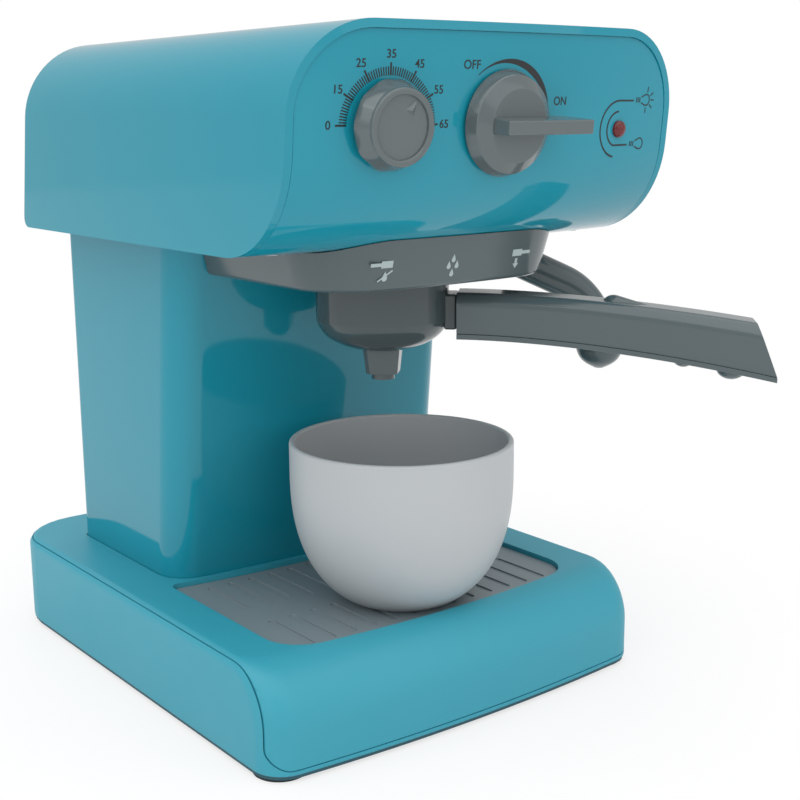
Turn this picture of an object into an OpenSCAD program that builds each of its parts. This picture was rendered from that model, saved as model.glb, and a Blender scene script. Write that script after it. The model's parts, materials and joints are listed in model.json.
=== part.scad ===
// Toy coffee maker: a base with a drip tray, a leaning column and a head that
// overhangs the tray. The head carries two dials and a lamp, and under it hang
// the brewing group with its lever-like filter holder and a swivelling wand.
// Origin: centre of the base at table level. +Z is up and -Y is the front.

/* [Base] */
// Width of the base
base_w = 160; // [156:1:172]
// Reach of the base in front of the origin
base_front = 101; // [99:1:108]
// Reach of the base behind the origin
base_back = 100; // [98:1:110]
// Height of the base's top above the table
base_h = 35.5; // [32:0.5:38]
// How far the base's front bows forward at its middle
base_sag = 4.5; // [2:0.5:6]
// Radius of the roll between the base's top and its front
base_roll = 19; // [14:1:22]
// Plan radius of the base's front corners
base_corner_front = 11; // [9:0.5:13]
// Plan radius of the base's back corners
base_corner_back = 25; // [18:1:28]
// Height of the strip left under the base's front cover
base_lip = 1.5; // [1.2:0.1:3]
// Width of the casing's edge beside the base's cover
base_edge = 1; // [0.8:0.1:1.4]

/* [Drip tray] */
// Width of the drip tray
tray_w = 125; // [116:1:128]
// Reach of the tray in front of the origin
tray_front = 84; // [82:1:86]
// Distance from the origin forward to the tray's back edge
tray_back = 8; // [7.5:0.5:12]
// How far the tray's front edge bows at its middle
tray_sag = 4.2; // [2:0.2:5]
// How far the tray's back edge bows at its middle
tray_back_sag = 4.5; // [2:0.5:5]
// Plan radius of the tray's front corners
tray_corner = 14; // [8:1:18]
// Thickness of the tray
tray_t = 3.5; // [2.8:0.1:4.5]
// How far the tray's face lies below the base's top
tray_drop = 1.7; // [1:0.1:2.5]
// Number of grooves in each row
groove_count = 13; // [5:1:14]
// Distance between grooves
groove_pitch = 8.45; // [7:0.05:8.6]
// Width of one groove
groove_w = 2.4; // [1.6:0.1:3.2]
// Depth of one groove
groove_depth = 0.8; // [0.4:0.1:1.2]

/* [Column] */
// Width of the column
column_w = 120; // [116:1:124]
// Distance from the origin forward to the column's foot
column_front = 5; // [4:0.1:5]
// Distance from the origin back to the column's rear face
column_back = 74; // [72:1:78]
// How far the column's front bows at its middle
column_sag = 3.5; // [1:0.5:4]
// Forward lean of the column's front, in degrees
column_lean = 5.7; // [4:0.1:6.5]
// Plan radius of the column's front corners
column_corner = 12; // [10:1:14]
// Plan radius of the column's rear corners
column_heel = 6; // [5:0.5:8]
// Depth of the socket in the base that holds the column's foot
column_seat = 3; // [2:0.1:4]

/* [Head] */
// Width of the head
head_w = 152.2; // [150:0.2:160]
// Height of the head's underside above the table
head_z = 159.2; // [152:0.2:170]
// Height of the head
head_h = 66.4; // [64:0.2:74]
// Reach of the head's top front edge in front of the origin
head_front = 116; // [114:1:122]
// Reach of the head's underside behind the origin
head_back = 76.5; // [76.5:0.5:84]
// How far the head's front bows forward at its middle
head_sag = 5.5; // [3:0.5:6.5]
// Forward lean of the head's front, in degrees
head_lean = 5.7; // [4:0.1:7]
// Forward lean of the head's rear, in degrees
head_back_lean = 10.5; // [6:0.5:12]
// Radius of the head's top side edges
head_top_r = 26; // [20:1:28]
// Radius of the roll between the head's front and its underside
head_roll = 34; // [28:1:36]
// Radius of the head's lower rear edge
head_heel = 4; // [2:0.5:5]
// How far the front panel lies behind the head's rim
panel_recess = 0.5; // [0.3:0.1:1.5]

/* [Brewing group] */
// Distance from the origin forward to the brewing axis
brew_y = 49; // [47:0.5:50]
// Depth of the group housing below the head
housing_h = 12.7; // [12.2:0.1:14]
// Width of the housing's underside
housing_w = 96; // [94:1:100]
// Reach of the housing's underside in front of the origin
housing_front = 89.5; // [88:0.5:91]
// How far the housing's front bows at its middle
housing_sag = 2.8; // [1:0.2:4]
// Plan radius of the housing's front corners
housing_corner = 22; // [18:1:22]
// Draft of the housing's wall, in degrees
housing_draft = 15; // [8:1:15]
// Outside radius of the filter basket
basket_r = 22.9; // [21:0.1:23.5]
// Length of the basket's straight wall below the housing
basket_drop = 16; // [14:0.5:18]
// Height of the basket's cone
cone_h = 9.5; // [7:0.5:11]
// Radius at the foot of the basket's cone
cone_r = 10; // [8:0.5:12]
// Height of the spout block
spout_h = 8.8; // [7:0.1:10]
// Width of the spout block at its top
spout_w = 12.7; // [11.8:0.1:14]
// Width of the spout block at its foot
spout_foot_w = 10.9; // [10:0.1:11.6]
// Radius of the nozzle under the spout block
nozzle_r = 4; // [3.6:0.1:4.8]
// Length of that nozzle
nozzle_h = 2.2; // [1.5:0.1:3]
// Radius of the hole through the spout
spout_bore_r = 2.2; // [1.6:0.1:2.8]
// Width of the two lugs that lock the basket
lug_w = 9; // [6:0.5:11]
// How far the lugs stand out of the basket
lug_reach = 3; // [2.5:0.1:3.2]

/* [Handle] */
// Angle of the handle from the right-hand side towards the front, in degrees
handle_angle = 45; // [40:1:50]
// Distance from the brewing axis to the handle
handle_start = 26.2; // [26:0.1:28]
// Distance from the brewing axis to the end of the handle's top edge
handle_end = 125.3; // [119:0.1:131]
// How much further the lower edge reaches than the top edge
handle_rake = 6.9; // [5:0.1:10]
// Height of the handle at its root
handle_h = 15.6; // [15:0.1:17]
// Half the width of the handle at its ridge line
handle_half = 9.5; // [9:0.1:11]
// Droop of the top edge over the handle's length
handle_droop = 9.2; // [7:0.1:10]
// Droop of the lower edge over the handle's length
handle_belly = 13.2; // [11:0.1:15]
// Height of the thumb rest
thumb_h = 2.4; // [1:0.1:3]
// Depth of the smaller finger rest under the handle
finger_h = 2.2; // [1.4:0.1:2.6]

/* [Dials and lamp] */
// Height of the dials' axes above the head's underside
dial_rise = 37.8; // [36:0.2:40]
// Distance of the timer dial's axis to the left of the middle
timer_x = 44; // [40:0.5:46]
// Radius of the timer knob at its foot
timer_r = 13.1; // [12.4:0.1:13.6]
// Radius of the timer knob at its face
timer_face_r = 11; // [9.5:0.1:11.5]
// Distance from the panel to the timer knob's face
timer_h = 7.5; // [6.5:0.1:10]
// Number of flutes round the timer knob
timer_flutes = 10; // [8:1:16]
// Clockwise angle of the timer's pointer from straight up, in degrees
timer_rest = 30; // [0:1:60]
// Distance of the power dial's axis to the left of the middle
power_x = 2.2; // [0:0.1:4]
// Radius of the power knob at its foot
power_r = 15.9; // [14.4:0.1:16.5]
// Radius of the power knob's flat face
power_face_r = 10.7; // [9.4:0.1:12]
// Distance from the panel to the power knob's flat face
power_face_h = 7.2; // [6.4:0.1:8.2]
// Distance from the panel to the front of the lever
lever_h = 13.4; // [12:0.1:16]
// Reach of the lever from the axis
lever_reach = 24.6; // [23:0.1:26]
// Thickness of the lever at its front
lever_t = 4.2; // [3.4:0.1:5]
// Distance of the lamp to the right of the middle
lamp_x = 49.5; // [46:0.5:54]
// Height of the lamp above the dials' axes
lamp_rise = -2.4; // [-4:0.2:4]
// Radius of the lamp's lens
lamp_r = 2.7; // [2:0.1:3.2]

/* [Wand] */
// Distance of the wand's pivot to the right of the middle
wand_x = 61; // [60:0.5:63]
// Distance from the origin forward to the wand's pivot
wand_y = 52; // [48:1:56]
// Angle of the wand from the right-hand side towards the front, in degrees
wand_angle = 25; // [0:1:30]
// Radius of the wand's tube
wand_r = 6; // [5:0.1:6.4]
// Reach of the wand from its pivot
wand_reach = 32; // [30:0.5:35]
// Depth of the wand's elbow below the head
wand_elbow = 12.7; // [11:0.1:14]
// Slope of the run after the elbow, in degrees
wand_dip = 25; // [20:1:30]
// Depth of the wand's end below the head
wand_drop = 54; // [48:1:58]
// Radius of the sleeve on the wand's end
wand_tip_r = 8.8; // [8.2:0.1:9.4]
// Length of that sleeve
wand_tip_h = 10; // [9:0.5:11]

/* [Cup] */
// Radius of the cup at its rim
cup_r = 38.8; // [34:0.2:39]
// Height of the cup
cup_h = 56.6; // [44:0.2:60]
// Radius of the cup's foot
cup_foot_r = 18.6; // [16:0.2:22]
// Height of the cup's nearly straight upper wall
cup_band = 11; // [8:0.5:14]
// Thickness of the cup's wall
cup_wall = 2; // [1.6:0.1:2.6]
// Distance from the origin forward to the cup's axis
cup_y = 59; // [56:0.5:60]

/* [Walls and clearances] */
// Thickness of the casing's walls
wall = 2.5; // [2.2:0.1:2.8]
// Thickness of inner floors and pocket walls
inner_wall = 2.2; // [1.8:0.1:2.4]
// Width of the visible seams between casing parts
seam = 0.5; // [0.3:0.1:0.8]
// Clearance round pieces that are lifted in and out
gap = 0.3; // [0.2:0.05:0.4]
// Radial clearance of a shaft in its bush
running = 0.05; // [0.03:0.01:0.08]
// Height of the casing's lower edge above the table
foot_h = 2.4; // [2:0.1:3]
// Radius of the feet
foot_r = 9; // [7:0.5:10]

/* [Hardware] */
// Radius of a screw's shank
screw_r = 1.35; // [1.2:0.05:1.5]
// Radius of a screw's head
screw_head_r = 2.7; // [2.4:0.1:3]
// Height of a screw's head
screw_head_h = 1.4; // [1.2:0.1:1.6]
// Radius of a screw boss
boss_r = 4; // [3.6:0.1:4.2]
// Radius of the timer's shaft
timer_shaft_r = 2.5; // [2:0.1:3]
// Radius of the power dial's shaft
power_shaft_r = 3; // [2.4:0.1:3.4]
// Radius of the wand's pivot
pivot_r = 4.5; // [4:0.1:5]
// Diameter of one battery
cell_d = 14.2; // [13.8:0.1:14.5]
// Length of one battery without its nub
cell_len = 49.2; // [48.5:0.1:49.5]
// Radius of a wire with its insulation
wire_r = 0.8; // [0.6:0.1:1]

/* [Hidden] */
$fn = 64;
eps = 0.01;
arc_steps = 6;

// Heights and reaches that follow from the sizes above
head_top = head_z + head_h;
dial_z = head_z + dial_rise;
lamp_z = dial_z + lamp_rise;
rim = wall + seam;
panel_front = head_front - panel_recess;
panel_split = -73;
panel_t = wall;
floor_t = wall;
pilot_r = screw_r + 0.05;
clear_r = screw_r + 0.35;
sink_r = screw_head_r + 0.3;
shank = 8.5;
plate_edge = 1.1;
plate_edge_in = 0.5;
plate_low = foot_h - plate_edge;
plate_t = 2.2;
plate_top = plate_low + plate_t;
cup_up = 2;
cover_t = inner_wall;
skin_in = 0.6;
flange_h = 8;
tray_z = base_h - tray_drop;
tray_floor = tray_z - tray_t;
seat_z = base_h - column_seat;
ledge = 2.5;
housing_z = head_z - housing_h;
housing_lip = 5;
ring_r = basket_r + lug_reach + 2.6;
ring_low = housing_z + inner_wall + gap;
ring_high = head_z - gap;
ring_bore = basket_r + gap;
ring_wall = 2.4;
basket_wall = 1.8;
basket_top = head_z - 3;
basket_rim = housing_z - basket_drop;
cone_low = basket_rim - cone_h;
spout_low = cone_low - spout_h;
lug_h = 3;
lug_low = housing_z + inner_wall + 3;
lug_angles = [90, 270];
neck_low = basket_rim - 2.9;
neck_high = neck_low + 14;
neck_half = 6;
tongue_half = 4.5;
tongue_low = neck_low + 1.6;
tongue_h = 8.4;
tongue_len = 20;
handle_top_z = neck_high - 0.7;
handle_wall = 2;
handle_plate_t = 1.8;
handle_screw_at = [62, 110];
wand_top = head_z - gap;
wand_axis_z = head_z - wand_elbow;
wand_bend = 26.5;
wand_low = head_z - wand_drop;
wand_boss_h = 5;
pivot_low = wand_top - 4;
pivot_high = head_z + floor_t + wand_boss_h + gap;
wand_washer_r = 8;
wand_washer_t = 1.2;

// The column's rear panel, and the passage of the wires from column to head
back_half = column_w / 2 - 14;
back_z = [base_h + 8, head_z - 8];
cable_y = 36;
cable_r = 10.6;

// Screw positions
base_bosses = [for (x = [-1, 1], y = [-62, 10, 76]) [x * (base_w / 2 - 10.5), y]];
column_bosses = [for (x = [-1, 1], y = [14, column_back - 10]) [x * (column_w / 2 - 5.8), y]];
head_bosses = [for (x = [-1, 1], y = [-36, 52]) [x * (head_w / 2 - 6.1), y]];
panel_bosses = [for (x = [-1, 1]) [x * (head_w / 2 - 14), panel_split - 3]];
housing_bosses = [for (y = [-31, panel_split + 6], x = [-1, 1]) [x * (housing_w / 2 - 9), y]];
back_bosses = [for (x = [-1, 1], z = [back_z[0] + 6.5, back_z[1] - 7]) [x * (back_half - 6), z]];
feet_at = [for (x = [-1, 1], y = [-(base_front - base_sag - foot_r - 1.2), base_back - foot_r - 9])
    [x * (base_w / 2 - foot_r - (y > 0 ? 9 : 1.2)), y]];

// Battery compartment
cells_y = [40, 56];
cell_z = plate_top + gap + cell_d / 2;
cell_nub = 1.1;
bay_x = cell_len / 2 + 5;
bay_y = [cells_y[0] - cell_d / 2 - 1.2, cells_y[1] + cell_d / 2 + 1.2];
bay_top = cell_z + cell_d / 2 + 1;
bay_wall = 1.6;
door_in = 3;
door_flap = 12.5;
door_x = bay_x + door_in;
door_y = [bay_y[0] - door_in, bay_y[1] + door_flap];
door_screw_at = [0, bay_y[1] + door_flap - 6];

// ---- Outlines and forms -------------------------------------------------

// Setback of a bowed edge at distance x from the middle
function bow(x, half, sag) = sag * pow(x / half, 2);

// Closed outline with a bowed front edge, a straight or bowed back edge and
// rounded corners. front and back are distances from the origin.
function plan(half, front, back, sag, rf, rb, back_sag = 0) =
    let (
        cx = half - rf,
        kink = atan(2 * sag * cx / (half * half)),
        bx = cx + rf * sin(kink),
        cy = -front + bow(bx, half, sag) + rf * cos(kink),
        kx = half - rb,
        ky = back + bow(kx, half, back_sag) - rb,
        front_edge = [for (i = [0 : arc_steps - 1]) let (x = bx * i / arc_steps)
            [x, -front + bow(x, half, sag)]],
        front_corner = [for (i = [0 : arc_steps]) let (a = kink - 90 + (90 - kink) * i / arc_steps)
            [cx + rf * cos(a), cy + rf * sin(a)]],
        back_corner = [for (i = [0 : arc_steps]) let (a = 90 * i / arc_steps)
            [kx + rb * cos(a), ky + rb * sin(a)]],
        back_edge = back_sag == 0 ? [] : [for (i = [arc_steps - 1 : -1 : 0]) let (x = kx * i / arc_steps)
            [x, back + bow(x, half, back_sag)]],
        right = concat(front_edge, front_corner, back_corner, back_edge)
    )
    concat(right, [for (i = [len(right) - 1 : -1 : 1]) if (right[i][0] > eps) [-right[i][0], right[i][1]]]);

function at_height(points, z) = [for (p = points) [p[0], p[1], z]];

// Solid through rings that all have as many points
module loft(rings) {
    n = len(rings[0]);
    last = len(rings) - 1;
    points = [for (ring = rings) each ring];
    sides = [for (i = [0 : last - 1], j = [0 : n - 1]) let (k = (j + 1) % n)
        each [[i * n + j, (i + 1) * n + j, (i + 1) * n + k], [i * n + j, (i + 1) * n + k, i * n + k]]];
    caps = [[for (j = [0 : n - 1]) j], [for (j = [n - 1 : -1 : 0]) last * n + j]];
    polyhedron(points, concat(sides, caps));
}

// The base's outer form, inset by the given amounts
module base_form(side = 0, front = 0, back = 0, top = 0, bottom = 0) {
    half = base_w / 2 - side;
    sag = bow(half, base_w / 2, base_sag);
    roll = base_roll - max(front, top);
    rf = max(base_corner_front - max(side, front), 0.8);
    rb = max(base_corner_back - max(side, back), 1);
    levels = concat(
        [[foot_h + bottom, front]],
        [for (i = [0 : arc_steps]) let (a = 90 * i / arc_steps)
            [base_h - top - roll + roll * sin(a), front + roll * (1 - cos(a))]]);
    loft([for (l = levels) at_height(plan(half, base_front - l[1], base_back - back, sag, rf, rb), l[0])]);
}

// The column's outer form between two heights, grown or inset all round
module column_form(z0, z1, inset = 0) {
    half = column_w / 2 - inset;
    sag = bow(half, column_w / 2, column_sag);
    loft([for (z = [z0, z1])
        at_height(plan(half, column_front - inset + (z - base_h) * tan(column_lean), column_back - inset,
            sag, column_corner - inset, max(column_heel - inset, 1)), z)]);
}

// Where the head's leaning front lies at a height, inset square to it
function head_front_y(z, inset) = tan(head_lean) * (head_top - z) - head_front + inset / cos(head_lean);

// Rounding of the head's lower rear edge at a height
function heel_in(z, low, r) = z < low + r ? r - sqrt(max(r * r - pow(low + r - z, 2), 0)) : 0;

// The head's outer form, inset by the given amounts
module head_form(side = 0, front = 0, back = 0, top = 0, bottom = 0) {
    half = head_w / 2 - side;
    low = head_z + bottom;
    high = head_top - top;
    edge = max(head_top_r - max(side, top), 1);
    roll = max(head_roll - max(front, bottom), 1);
    heel = max(head_heel - max(back, bottom), 0.5);
    roll_z = low + roll;
    roll_y = head_front_y(roll_z, front) + roll / cos(head_lean);
    levels = concat(
        [for (i = [0 : arc_steps]) let (a = (90 - head_lean) * i / arc_steps)
            [roll_z - roll * cos(a), roll_y - roll * sin(a), half]],
        [for (i = [0 : arc_steps]) let (a = 90 * i / arc_steps, z = high - edge + edge * sin(a))
            [z, head_front_y(z, front), half - edge + edge * cos(a)]]);
    loft([for (l = levels) at_height(
        plan(l[2], -l[1], head_back - back - tan(head_back_lean) * (l[0] - head_z) - heel_in(l[0], low, heel),
            bow(l[2], head_w / 2, head_sag), 2, 3), l[0])]);
}

// The housing's outer form, inset by a wall and from below
module housing_form(inset = 0, bottom = 0, top = 0) {
    loft([for (z = [housing_z + bottom, head_z + top])
        let (grow = (z - housing_z) * tan(housing_draft) - inset)
        at_height(plan(housing_w / 2 + grow, housing_front + grow, 0, housing_sag,
            housing_corner + grow, 2), z)]);
}

// The surface of the front panel, and a frame that stands square on it
function panel_y(x, z) = bow(x, head_w / 2, head_sag) - panel_front + tan(head_lean) * (head_top - z);

module on_panel(x, z) {
    translate([x, panel_y(x, z), z]) rotate([90 + head_lean, 0, 0]) children();
}

module prism(outline, z0, z1) {
    translate([0, 0, z0]) linear_extrude(z1 - z0) polygon(outline);
}

module block(low, high) {
    translate(low) cube(high - low);
}

module post(at, r, z0, z1) {
    translate([at[0], at[1], z0]) cylinder(r = r, h = z1 - z0);
}

// ---- Screws --------------------------------------------------------------

// Pan-head screw whose shank runs up from the origin
module screw(length = shank) {
    cylinder(r = screw_r, h = length);
    difference() {
        translate([0, 0, -screw_head_h]) cylinder(r = screw_head_r, h = screw_head_h);
        for (a = [0, 90])
            rotate(a) translate([-1.7, -0.35, -screw_head_h - eps]) cube([3.4, 0.7, 0.8]);
    }
}

module screws_up(spots, z, length = shank) {
    for (p = spots) translate([p[0], p[1], z]) screw(length);
}

module screws_down(spots, z, length = shank) {
    for (p = spots) translate([p[0], p[1], z]) rotate([180, 0, 0]) screw(length);
}

// ---- Tubes along a path ----------------------------------------------------

function unit(v) = v / norm(v);

// Smooth curve through points, with a few steps between each two
function smooth(p, steps) = concat(
    [for (i = [0 : len(p) - 2], s = [0 : steps - 1])
        let (t = s / steps, a = p[max(i - 1, 0)], b = p[i], c = p[i + 1], d = p[min(i + 2, len(p) - 1)])
        b + 0.5 * t * (c - a + t * (2 * a - 5 * b + 4 * c - d + t * (3 * (b - c) + d - a)))],
    [p[len(p) - 1]]);

// Round tube along a path; hint is a direction that the path never takes
module tube(path, r, sides, hint) {
    last = len(path) - 1;
    loft([for (i = [0 : last])
        let (
            along = unit(path[min(i + 1, last)] - path[max(i - 1, 0)]),
            a = unit(cross(along, hint)),
            b = cross(along, a)
        )
        [for (k = [0 : sides - 1]) path[i] + r * (a * cos(360 * k / sides) + b * sin(360 * k / sides))]]);
}

// ---- Base ------------------------------------------------------------------

function base_inset(inset) =
    let (half = base_w / 2 - inset)
    plan(half, base_front - inset, base_back - inset, bow(half, base_w / 2, base_sag),
        max(base_corner_front - inset, 1), base_corner_back - inset);

function tray_outline(grow = 0) =
    let (half = tray_w / 2 + grow)
    plan(half, tray_front + grow, grow - tray_back, tray_sag, tray_corner + grow, 3 + grow, tray_back_sag);

function column_outline(grow = 0) =
    let (half = column_w / 2 + grow)
    plan(half, column_front + grow, column_back + grow, column_sag, column_corner + grow, column_heel + grow);

// Side and rear walls with a low strip across the front
module base_shell() {
    color("turquoise") difference() {
        union() {
            difference() {
                base_form();
                base_form(side = wall, front = wall, back = wall, top = -1, bottom = -1);
                difference() {
                    base_form(side = base_edge, front = -2, back = base_edge, top = -2, bottom = base_lip);
                    base_form(side = -1, front = cover_t + gap, back = -1, top = cover_t + gap, bottom = -1);
                }
                base_form(side = wall, front = -2, back = wall, top = -2, bottom = base_lip);
            }
            prism(base_inset(wall - 0.2), plate_top, plate_top + 2);
            for (x = [-1, 1])
                translate([x * (base_w / 2 - wall - 1), 0, base_h - cover_t - flange_h - 1])
                    cube([3, 130, 2], center = true);
        }
        prism(base_inset(wall + ledge), plate_top - 1, plate_top + 3);
    }
}

// Top and rolled front of the base, with the pockets for tray and column
module base_cover() {
    low = base_h - cover_t - flange_h;
    edge = base_edge + seam;
    flange_low = plate_top + 2 + gap - foot_h;
    color("turquoise") difference() {
        union() {
            intersection() {
                base_form(bottom = base_lip + seam);
                base_form(side = edge, front = -2, back = edge, top = -2);
                difference() {
                    base_form(side = -1, front = -3, back = -1, top = -3);
                    base_form(side = -2, front = cover_t, back = -2, top = cover_t, bottom = -1);
                }
            }
            difference() {
                base_form(side = rim, front = skin_in, back = rim, top = skin_in, bottom = flange_low);
                base_form(side = rim + cover_t, front = cover_t - skin_in, back = rim + cover_t,
                    top = cover_t - skin_in, bottom = -1);
                block([-base_w, -base_front + base_roll + 3, -1], [base_w, base_back + 5, low]);
            }
            intersection() {
                base_form(side = rim, front = skin_in, back = rim);
                union() {
                    prism(tray_outline(gap + inner_wall), tray_floor - inner_wall, base_h);
                    prism(column_outline(gap + inner_wall), seat_z - inner_wall, base_h);
                }
            }
            for (p = base_bosses) post(p, boss_r, plate_top + cup_up, base_h - 1);
        }
        prism(tray_outline(gap), tray_floor, base_h + 1);
        prism(column_outline(gap), seat_z, base_h + 1);
        block([16 - column_w / 2, cable_y - 12, seat_z - 5],
            [column_w / 2 - 16, column_back - 14, seat_z + 1]);
        for (p = base_bosses) post(p, pilot_r, plate_top, plate_top + cup_up + shank);
        for (p = column_bosses) post(p, clear_r, seat_z - 5, seat_z + 1);
    }
}

// Floor of the base, with sunk screw seats and the battery opening
module base_plate() {
    color("teal") difference() {
        union() {
            prism(base_inset(wall + gap), plate_low, plate_top);
            prism(base_inset(plate_edge_in), plate_low, foot_h);
            for (p = base_bosses) post(p, boss_r + 0.6, plate_low, plate_top + cup_up);
        }
        for (p = base_bosses) {
            post(p, clear_r, 0, plate_top + cup_up + 1);
            post(p, sink_r, 0, plate_top + cup_up - 1.2);
        }
        for (p = feet_at) post(p, foot_r / 3 + 0.1, 0, plate_top + 1);
        block([-door_x - gap, door_y[0] - gap, 0], [door_x + gap, door_y[1] + gap, 10]);
    }
}

// Soft round feet, each with a peg pressed into the base plate
module rubber_feet() {
    color("dimgray") for (p = feet_at) {
        post(p, foot_r, 0, plate_low);
        post(p, foot_r / 3, plate_low - eps, plate_top - 0.2);
    }
}

module base_screws() {
    color("silver") screws_up(base_bosses, plate_top + cup_up - 1.2);
}

// Lift-out tray with two rows of round-ended grooves
module drip_tray() {
    front_row = [6.5 - tray_front, 32.5 - tray_front];
    back_row = [-tray_back - 31.5, -tray_back - 3.5];
    color("gray") difference() {
        prism(tray_outline(), tray_floor, tray_z);
        for (i = [0 : groove_count - 1], row = [front_row, back_row])
            translate([(i - (groove_count - 1) / 2) * groove_pitch, 0, tray_z - groove_depth])
                groove(row[0] + groove_w / 2, row[1] - groove_w / 2);
    }
}

module groove(y0, y1) {
    translate([-groove_w / 2, y0, 0]) cube([groove_w, y1 - y0, groove_depth + 1]);
    for (y = [y0, y1]) translate([0, y, 0]) cylinder(r = groove_w / 2, h = groove_depth + 1, $fn = 24);
}

// ---- Batteries ---------------------------------------------------------------

// Tub over the two cells, open towards the door
module battery_box() {
    color("black") difference() {
        union() {
            block([-bay_x - bay_wall, bay_y[0] - bay_wall, plate_top],
                [bay_x + bay_wall, bay_y[1] + bay_wall, bay_top + bay_wall]);
            post(door_screw_at, boss_r, plate_top + cup_up, bay_top);
            block([-1, bay_y[1], plate_top + cup_up], [1, door_screw_at[1] - boss_r + 1, bay_top]);
        }
        block([-bay_x, bay_y[0], plate_top - 1], [bay_x, bay_y[1], bay_top]);
        post(door_screw_at, pilot_r, plate_top, plate_top + cup_up + shank);
        for (y = cells_y) translate([-10, y - 1.2, bay_top - 1]) cube([20, 2.4, 5]);
    }
}

module cell() {
    cylinder(d = cell_d, h = cell_len);
    translate([0, 0, cell_len - eps]) cylinder(r = 2.7, h = cell_nub);
}

module battery_cells() {
    color("orange") for (i = [0, 1])
        translate([0, cells_y[i], cell_z]) rotate([0, i == 0 ? 90 : -90, 0])
            translate([0, 0, -cell_len / 2]) cell();
}

// One sheet contact at each end of each cell, and a coil spring at the negative end
module battery_contacts() {
    turns = 4;
    coil = bay_x - 0.6 - cell_len / 2 - 0.4;
    color("silver") for (i = [0, 1], end = [-1, 1]) {
        plus = (i == 0) == (end == 1);
        translate([end * (bay_x - 0.3), cells_y[i], cell_z]) cube([0.5, 10, 10], center = true);
        if (plus)
            translate([end * (bay_x - 0.55), cells_y[i], cell_z]) rotate([0, -end * 90, 0])
                cylinder(r = 2.4, h = bay_x - 0.55 - cell_len / 2 - cell_nub - 0.1);
        else
            tube([for (k = [0 : turns * 10])
                let (a = 36 * k, r = 4.8 - 2.2 * k / (turns * 10))
                [end * (bay_x - 0.9 - (coil - 0.7) * k / (turns * 10)), cells_y[i] + r * cos(a),
                    cell_z + r * sin(a)]],
                0.35, 6, [1, 0, 0]);
    }
}

module battery_door() {
    color("teal") difference() {
        union() {
            block([-door_x, door_y[0], plate_low], [door_x, door_y[1], plate_top]);
            post(door_screw_at, boss_r, plate_low, plate_top + cup_up);
        }
        post(door_screw_at, clear_r, 0, plate_top + cup_up + 1);
        post(door_screw_at, sink_r, 0, plate_top + cup_up - 1.2);
        for (i = [-2 : 2])
            block([i * 4 - 0.8, door_y[0] + 6, 0], [i * 4 + 0.8, door_y[0] + 18, plate_low + 0.6]);
    }
}

module door_screw() {
    color("silver") screws_up([door_screw_at], plate_top + cup_up - 1.2);
}

// ---- Column ------------------------------------------------------------------

// Leaning shell with an opening for the rear panel
module column_shell() {
    color("turquoise") difference() {
        union() {
            difference() {
                column_form(seat_z, head_z);
                column_form(seat_z - 1, head_z + 1, wall);
            }
            for (p = column_bosses) {
                post(p, boss_r, seat_z, seat_z + 13);
                post(p, boss_r, head_z - 13, head_z);
            }
            block([-back_half - 4, column_back - wall - 2.2, back_z[0] - 4],
                [back_half + 4, column_back - wall + 0.2, back_z[1] + 4]);
            for (p = back_bosses) translate([p[0], column_back - wall - 1, p[1]])
                rotate([90, 0, 0]) cylinder(r = boss_r, h = 9);
        }
        block([-back_half - gap, column_back - wall, back_z[0] - gap],
            [back_half + gap, column_back + 1, back_z[1] + gap]);
        block([-back_half + 12, column_back - 8, back_z[0] + 8],
            [back_half - 12, column_back + 1, back_z[1] - 8]);
        for (p = column_bosses) {
            post(p, pilot_r, seat_z - 1, seat_z + 10);
            post(p, pilot_r, head_z - 10, head_z + 1);
        }
        for (p = back_bosses) translate([p[0], column_back + 1, p[1]])
            rotate([90, 0, 0]) cylinder(r = pilot_r, h = 13);
    }
}

module column_back() {
    color("turquoise") difference() {
        block([-back_half, column_back - wall, back_z[0]], [back_half, column_back, back_z[1]]);
        for (p = back_bosses) translate([p[0], column_back + 1, p[1]]) rotate([90, 0, 0]) {
            cylinder(r = clear_r, h = wall + 2);
            cylinder(r = sink_r, h = 2.5);
        }
    }
}

module column_screws() {
    color("silver") {
        screws_up(column_bosses, seat_z - inner_wall);
        screws_down(column_bosses, head_z + floor_t);
    }
}

module column_back_screws() {
    color("silver") for (p = back_bosses)
        translate([p[0], column_back - 1.5, p[1]]) rotate([90, 0, 0]) screw();
}

// ---- Head --------------------------------------------------------------------

// Sides, top and rear of the head in one moulding
module head_shell() {
    color("turquoise") difference() {
        union() {
            difference() {
                head_form();
                head_form(side = wall, front = -3, back = wall, top = wall, bottom = -3);
            }
            for (p = head_bosses) post(p, boss_r, head_z + floor_t, head_z + floor_t + 14);
        }
        for (p = head_bosses) post(p, pilot_r, head_z, head_z + floor_t + 11);
    }
}

// Underside of the head, which holds the column, the group and the wand
module head_floor() {
    half = head_w / 2 - wall - gap;
    strip = panel_bosses[1][0] + 4;
    strip_d = 11;
    color("turquoise") difference() {
        union() {
            prism(plan(half, -panel_split - gap, head_back - head_heel - gap, 0, 1, 2),
                head_z, head_z + floor_t);
            block([-strip, panel_split, head_z + floor_t - eps],
                [strip, panel_split + strip_d, head_z + floor_t + 3]);
            block([-strip, panel_split - 4.6, head_z + floor_t + 0.35],
                [strip, panel_split + strip_d, head_z + floor_t + 3]);
            post([wand_x, -wand_y], pivot_r + 3, head_z, head_z + floor_t + wand_boss_h);
        }
        for (p = head_bosses) {
            post(p, clear_r, head_z - 1, head_z + floor_t + 1);
            post(p, sink_r, head_z - 1, head_z + 1.5);
        }
        for (p = concat(column_bosses, housing_bosses)) post(p, clear_r, head_z - 1, head_z + 9);
        for (p = housing_bosses) post(p, sink_r, head_z + floor_t, head_z + 9);
        for (p = panel_bosses) post(p, pilot_r, head_z, head_z + floor_t + 4);
        post([wand_x, -wand_y], pivot_r + running, head_z - 1, head_z + 12);
        post([0, cable_y], cable_r, head_z - 1, head_z + 9);
    }
}

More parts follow.
